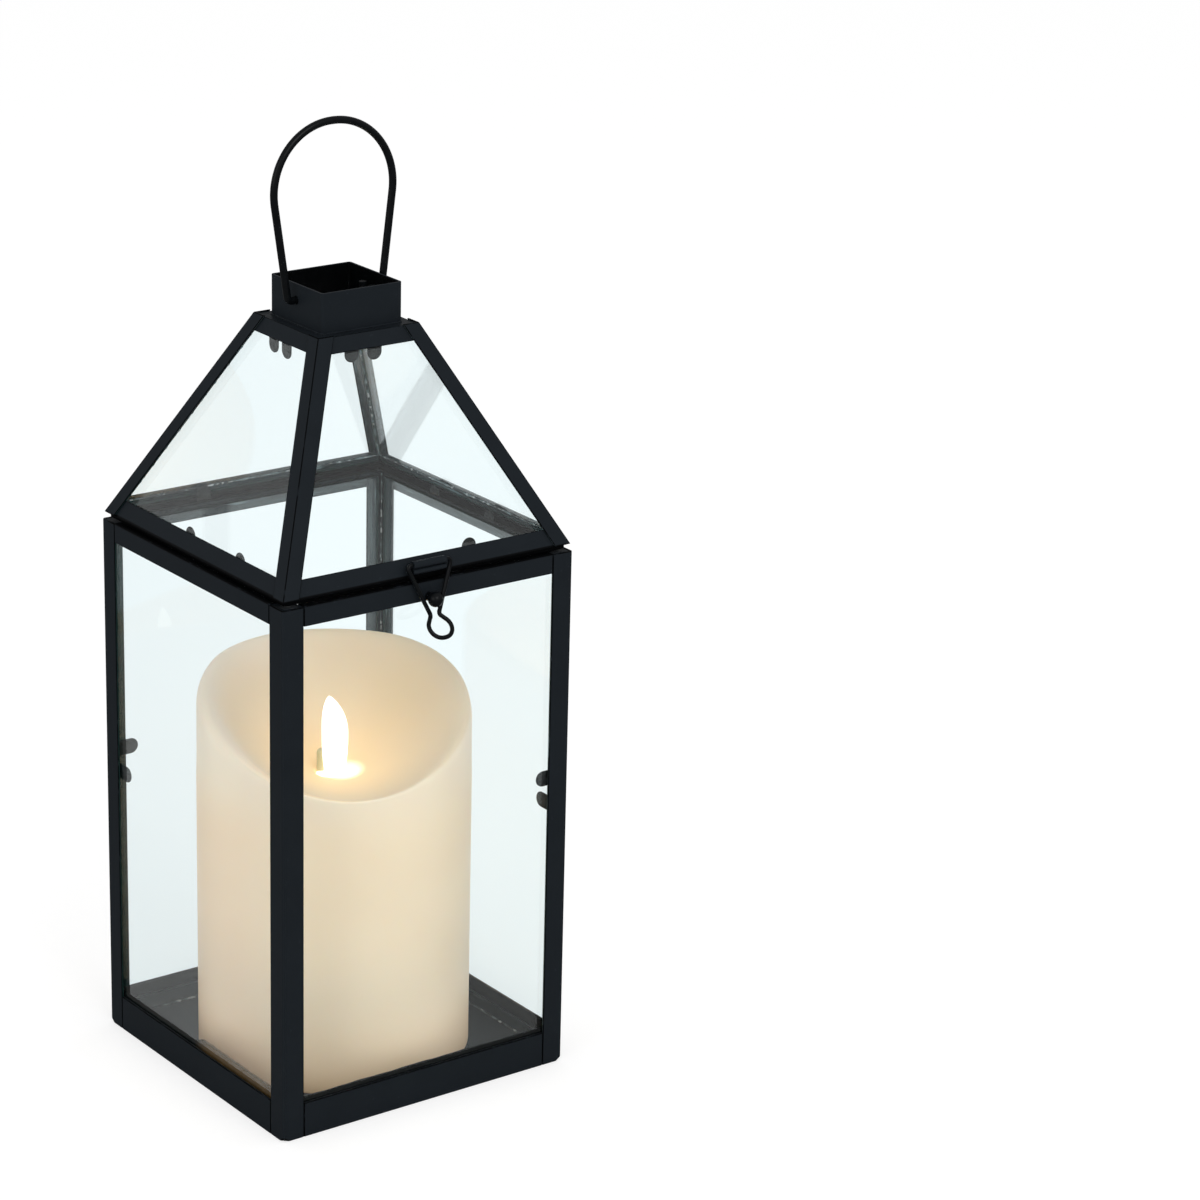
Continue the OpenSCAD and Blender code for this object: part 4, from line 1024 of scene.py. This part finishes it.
class LANTERN_OT_wax(LanternOperator, bpy.types.Operator):
    """Cast the wax pillar with its melted hollow"""

    bl_idname = "lantern.wax"
    bl_label = "Wax pillar"

    ROUND_COUNT = 224
    SIDE_STEPS, RIM_STEPS, SHOULDER_STEPS, HOLLOW_STEPS = 36, 8, 12, 40
    # How far down the rim is rounded, in front, at the back, and how much more at the sides
    RIM_FRONT, RIM_BACK, RIM_SIDE = 0.9 * MM, 2.6 * MM, 4.4 * MM
    FOOT_ROUND = 1.2 * MM
    # How far inwards the rim's crest and the hollow's wall start, in roundings of the rim,
    # and how steeply the wall falls between them
    CREST_IN, WALL_IN, WALL_FALL = 0.55, 1.3, 1.2

    def build(self, scene):
        candle = scene.lantern_candle
        radius = WAX_HIGH.x - 0.05 * MM
        bottom = WAX_LOW.z
        top = WAX_HIGH.z

        def rim(angle):
            return top - candle.scoop_drop * math.cos(angle / 2) ** 4

        def hollow(r, angle, reach):
            floor = candle.hollow_floor
            return floor + (rim(angle) - floor) * (r / reach) ** 2

        def slot_edge(angle):
            """Distance from the middle to the slot's edge, in a direction from the front."""
            x, y = abs(math.sin(angle)), abs(math.cos(angle))
            if y * candle.slot_half >= x * candle.slot_round:
                return candle.slot_round / y
            along = candle.slot_half * x
            return along + math.sqrt(max(
                along ** 2 - candle.slot_half ** 2 + candle.slot_round ** 2, 0))

        def profile(angle):
            """(radius, height) of one slice, from the bore's foot round to the bore's foot."""
            soft = (self.RIM_FRONT + (self.RIM_BACK - self.RIM_FRONT) * (1 - math.cos(angle)) / 2
                    + self.RIM_SIDE * abs(math.sin(angle)) ** 1.6)
            high = rim(angle)
            foot = bottom + self.FOOT_ROUND
            points = [(candle.bore, bottom), (radius - self.FOOT_ROUND, bottom),
                      (radius - self.FOOT_ROUND / 3, bottom + self.FOOT_ROUND / 3), (radius, foot)]
            points += [(radius, foot + (high - soft - foot) * i / self.SIDE_STEPS)
                       for i in range(1, self.SIDE_STEPS + 1)]
            across = self.CREST_IN * soft
            for i in range(1, self.RIM_STEPS + 1):
                turn = math.pi / 2 * i / self.RIM_STEPS
                points.append((radius - across * (1 - math.cos(turn)),
                               high - soft * (1 - math.sin(turn))))
            crest = radius - across
            depth = high - candle.hollow_floor
            inner_r = crest - self.WALL_IN * soft
            fall = self.WALL_IN * soft * self.WALL_FALL * depth / radius
            reach = inner_r / math.sqrt(max(depth - fall, depth / 2) / depth)
            inner_z = hollow(inner_r, angle, reach)
            bend = (crest - inner_r) * 2 * depth * inner_r / reach ** 2 / (high - inner_z)
            for i in range(1, self.SHOULDER_STEPS + 1):
                t = i / self.SHOULDER_STEPS
                points.append((crest - (crest - inner_r) * t, high - (high - inner_z) * (
                    (3 - bend) * t ** 2 + (bend - 2) * t ** 3)))
            slot = slot_edge(angle)
            lip = slot + 0.8 * MM
            for i in range(1, self.HOLLOW_STEPS + 1):
                r = inner_r + (lip - inner_r) * i / self.HOLLOW_STEPS
                points.append((r, hollow(r, angle, reach)))
            floor = hollow(lip, angle, reach)
            points += [(slot + 0.2 * MM, floor - 0.3 * MM), (slot, floor - 1.0 * MM),
                       (slot, candle.housing_top), (candle.housing_bore, candle.housing_top),
                       (candle.housing_bore, candle.bore_top), (candle.bore, candle.bore_top)]
            return points

        def waver(r, z, angle):
            """Slight unevenness of the melted wax, sideways and in height."""
            floor = candle.hollow_floor
            melt = fade(r, 10 * MM, 30 * MM) * fade(z, floor - 2 * MM, floor + 10 * MM)
            sideways = math.sin(3 * angle + 0.6) + 0.6 * math.sin(5 * angle + 2.0 + 60 * z)
            upward = math.sin(4 * angle + 1.3 + 90 * r)
            return 0.16 * MM * sideways * melt, 0.22 * MM * upward * melt

        def make(bm):
            rings = []
            for i in range(self.ROUND_COUNT):
                angle = 2 * math.pi * i / self.ROUND_COUNT
                ring = []
                for r, z in profile(angle):
                    dr, dz = waver(r, z, angle)
                    r = min(r - abs(dr), radius)
                    way = angle + CANDLE_TURN
                    ring.append((r * math.sin(way), -r * math.cos(way), z + min(dz, 0)))
                rings.append(ring)
            skin_rings(bm, rings)

        piece = new_piece("wax_pillar", make, "candle", wax_finish(candle))
        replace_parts(piece, "wax_shell")


class LANTERN_OT_flame(LanternOperator, bpy.types.Operator):
    """Shape the swaying flame leaf with its stem, and the lit pool round it"""

    bl_idname = "lantern.flame"
    bl_label = "Flame"

    WIDTH, THICKNESS, LEAN, OFF_MIDDLE = 10.0 * MM, 2.1 * MM, 2.25 * MM, 0.5 * MM
    BELLY = 0.5
    RING_POINTS, LEAF_STEPS, END_STEPS = 32, 44, 16
    THINNEST = 0.08 * MM

    def outline(self, f):
        """Middle and half width of the leaf at share f of its height."""
        above = max(0.0, (f - self.BELLY) / (1 - self.BELLY))
        below = max(0.0, 1 - f / self.BELLY)
        half = self.WIDTH / 2 * (1 - 0.22 * below ** 2) * (1 - above ** 2.3) ** 0.75
        return -self.OFF_MIDDLE - self.LEAN * above ** 1.8, half

    def build(self, scene):
        candle = scene.lantern_candle
        low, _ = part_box("flame_paddle")
        spin = Matrix.Rotation(CANDLE_TURN, 3, "Z")
        foot = candle.hollow_floor

        def ring(centre, half, deep, z):
            points = []
            for i in range(self.RING_POINTS):
                a = 2 * math.pi * i / self.RING_POINTS
                points.append(spin @ Vector((centre + half * math.cos(a), deep * math.sin(a), z)))
            return points

        def make(bm):
            rings = [ring(0, 1.9 * MM, 0.7 * MM, low.z), ring(0, 2.0 * MM, 0.8 * MM, foot - 4 * MM)]
            for i in range(self.LEAF_STEPS + 1):
                f = i / self.LEAF_STEPS
                middle, half = self.outline(f)
                half = max(half, self.THINNEST)
                deep = self.THICKNESS / 2 * (half / (self.WIDTH / 2)) ** 0.7
                rings.append(ring(middle, half, deep, foot + FLAME_HEIGHT * f))
            skin_rings(bm, rings, capped=True)

        piece = new_piece("flame_leaf", make, "flame", flame_finish(candle))
        piece.visible_glossy = False
        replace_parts(piece, "flame_paddle")

        def stadium(half, radius, z):
            points = []
            for end, start in ((1, -math.pi / 2), (-1, math.pi / 2)):
                for i in range(self.END_STEPS + 1):
                    a = start + math.pi * i / self.END_STEPS
                    points.append(spin @ Vector((
                        end * half + radius * math.cos(a), radius * math.sin(a), z)))
            return points

        def lit_pool(bm):
            """Lit lens in the slot round the flame's stem."""
            inner, outer = 2.2 * MM, candle.slot_round + 0.1 * MM
            broad = 0.85 * candle.slot_half
            skin_rings(bm, [
                stadium(inner, 1.5 * MM, foot - 0.9 * MM),
                stadium(inner, 1.5 * MM, foot + 0.2 * MM),
                stadium(inner + 0.6 * MM, 2.2 * MM, foot + 0.5 * MM),
                stadium(broad, outer - 1.0 * MM, foot + 0.4 * MM),
                stadium(broad, outer, foot + 0.05 * MM),
                stadium(broad, outer - 0.4 * MM, foot - 0.9 * MM)])

        pool = new_piece("flame_pool", lit_pool, "candle",
                         glowing("lit_wax", (1.0, 0.93, 0.78), 1.25))
        pool.visible_glossy = False


class LANTERN_OT_candle_works(LanternOperator, bpy.types.Operator):
    """Finish the candle's base, battery box, board, coil, lamp and switch"""

    bl_idname = "lantern.candle_works"
    bl_label = "Candle works"

    def build(self, scene):
        ivory = moulded("ivory_plastic", (0.78, 0.70, 0.56), 0.45)
        black = moulded("black_plastic", (0.012, 0.012, 0.013), 0.5)
        steel = bare_metal("plated_steel", (0.55, 0.55, 0.56))
        dress(["candle_base", "battery_door", "battery_box", "inner_core", "flame_housing",
               "coil_bobbin"], ivory)
        dress(["switch_housing", "switch_slider"], black)
        dress(["contact_plates", "contact_springs", "board_screws", "pivot_wire", "flame_magnet"],
              steel)
        dress(["batteries"], moulded("cell_sleeve", (0.05, 0.10, 0.22), 0.35))
        dress(["circuit_board"], moulded("board_lacquer", (0.02, 0.12, 0.05), 0.3))
        dress(["drive_coil"], bare_metal("copper_wire", (0.60, 0.28, 0.14), 0.35))
        dress(["led_lamp"], glowing("lamp_epoxy", (0.42, 0.37, 0.20), 0.45))


class LANTERN_OT_stage(LanternOperator, bpy.types.Operator):
    """Set up the pale floor, the soft lamps and the camera"""

    bl_idname = "lantern.stage"
    bl_label = "Stage"

    CAMERA_TURN, CAMERA_RISE, CAMERA_ROLL = -37.085, 19.16, 1.48
    CAMERA_PLACE = (-0.75283, -1.15830, 0.66088)
    FOCAL_PIXELS, FRAME_PIXELS = 3943, 1200
    SENSOR = 36
    # The floor as the camera sees it: its own colour, and the white light added to that
    FLOOR_SEEN, FLOOR_LIFT = 0.42, 0.645
    # Shares of the floor's and the room's brightness that mirrored rays find
    FLOOR_MIRRORED, ROOM_MIRRORED = 0.22, 0.50
    KEY_PLACE, KEY_SIZE = (-0.15, -1.85, 1.75), 1.3
    FILL_PLACE, FILL_SIZE = (-1.8, -0.5, 1.0), 1.2
    LAMP_AIM = (0, 0, 0.15)

    def build(self, scene):
        stage = scene.lantern_stage
        self.make_floor(stage)
        self.make_room(scene, stage)
        self.make_lamp("key_lamp", self.KEY_PLACE, self.KEY_SIZE, stage.key_power)
        self.make_lamp("fill_lamp", self.FILL_PLACE, self.FILL_SIZE, stage.fill_power)
        self.make_camera(scene)

    def seen(self, finish):
        """1 for rays that show the background, from the camera or through glass."""
        path = finish.add("LightPath", output="Is Camera Ray")
        through = Link(finish, path.socket.node.outputs["Is Transmission Ray"])
        return finish.maths("MAXIMUM", path, through)

    def mirrored(self, finish):
        """1 for rays that a glossy surface has mirrored."""
        path = finish.add("LightPath", output="Is Glossy Ray")
        reflected = Link(finish, path.socket.node.outputs["Is Reflection Ray"])
        return finish.maths("MINIMUM", path, reflected)

    def make_floor(self, stage):
        mesh = bpy.data.meshes.new("floor")
        bm = bmesh.new()
        bmesh.ops.create_grid(bm, x_segments=8, y_segments=8, size=stage.floor_size / 2)
        bm.to_mesh(mesh)
        bm.free()
        floor = bpy.data.objects.new("floor", mesh)
        floor.location.z = -0.1 * MM
        bpy.context.scene.collection.objects.link(floor)
        finish = new_finish("pale_floor")
        seen = self.seen(finish)
        lift = finish.add("Emission", sockets={
            "Color": (1, 1, 1, 1), "Strength": seen * self.FLOOR_LIFT})
        dim = times(stage.floor, self.FLOOR_MIRRORED)
        shade = finish.mix(self.mirrored(finish), stage.floor, dim)
        shade = finish.mix(seen, shade, [self.FLOOR_SEEN] * 3)
        matte = finish.surface(Base_Color=shade, Roughness=0.9, Specular_IOR_Level=0.0)
        mesh.materials.append(finish.show(finish.add("AddShader", sockets={0: matte, 1: lift})))

    def make_room(self, scene, stage):
        scene.world = bpy.data.worlds.new("white_room")
        finish = Finish(scene.world)
        strength = finish.step(self.seen(finish), 0.0, 1.0, (stage.daylight, 1.0))
        strength = strength * (1.0 - (1.0 - self.ROOM_MIRRORED) * self.mirrored(finish))
        finish.show(finish.add("Background", sockets={"Color": (1, 1, 1, 1), "Strength": strength}))

    def make_lamp(self, name, place, size, power):
        lamp = bpy.data.lights.new(name, "AREA")
        lamp.size = size
        lamp.energy = power
        holder = bpy.data.objects.new(name, lamp)
        holder.location = place
        aim = Vector(self.LAMP_AIM) - holder.location
        holder.rotation_euler = aim.to_track_quat("-Z", "Y").to_euler()
        bpy.context.scene.collection.objects.link(holder)

    def make_camera(self, scene):
        lens = bpy.data.cameras.new("camera")
        lens.sensor_width = self.SENSOR
        lens.sensor_fit = "HORIZONTAL"
        lens.lens = self.SENSOR * self.FOCAL_PIXELS / self.FRAME_PIXELS
        lens.clip_start = 0.05
        lens.clip_end = 100
        camera = bpy.data.objects.new("camera", lens)
        turn, rise, roll = (math.radians(angle) for angle in (
            self.CAMERA_TURN, self.CAMERA_RISE, self.CAMERA_ROLL))
        back = Vector((math.sin(turn) * math.cos(rise), -math.cos(turn) * math.cos(rise),
                       math.sin(rise)))
        level = Vector((math.cos(turn), math.sin(turn), 0))
        upward = back.cross(level)
        right = math.cos(roll) * level + math.sin(roll) * upward
        up = back.cross(right)
        camera.matrix_world = Matrix((
            (right.x, up.x, back.x, self.CAMERA_PLACE[0]),
            (right.y, up.y, back.y, self.CAMERA_PLACE[1]),
            (right.z, up.z, back.z, self.CAMERA_PLACE[2]),
            (0, 0, 0, 1)))
        scene.collection.objects.link(camera)
        scene.camera = camera
        scene.view_settings.view_transform = "Standard"


OPERATORS = (
    LANTERN_OT_frame, LANTERN_OT_floor_pan, LANTERN_OT_lid_frame, LANTERN_OT_glass,
    LANTERN_OT_tabs, LANTERN_OT_solder, LANTERN_OT_seals, LANTERN_OT_fittings,
    LANTERN_OT_wax, LANTERN_OT_flame, LANTERN_OT_candle_works, LANTERN_OT_stage,
)


class LANTERN_PT_sidebar(bpy.types.Panel):
    """Lists the lantern's settings and steps"""

    bl_idname = "LANTERN_PT_sidebar"
    bl_label = "Candle Lantern"
    bl_space_type = "VIEW_3D"
    bl_region_type = "UI"
    bl_category = "Lantern"

    def draw(self, context):
        for name, group in SETTINGS.items():
            settings = getattr(context.scene, name)
            box = self.layout.box()
            for key in group.__annotations__:
                box.prop(settings, key)
        for operator in OPERATORS:
            self.layout.operator(operator.bl_idname)


CLASSES = (*SETTINGS.values(), *OPERATORS, LANTERN_PT_sidebar)


def register():
    for cls in CLASSES:
        bpy.utils.register_class(cls)
    for name, group in SETTINGS.items():
        setattr(bpy.types.Scene, name, PointerProperty(type=group))


def unregister():
    for name in SETTINGS:
        delattr(bpy.types.Scene, name)
    for cls in reversed(CLASSES):
        bpy.utils.unregister_class(cls)


def main():
    register()
    for operator in OPERATORS:
        group, name = operator.bl_idname.split(".")
        getattr(getattr(bpy.ops, group), name)()
    bpy.context.view_layer.update()


if __name__ == "__main__":
    main()
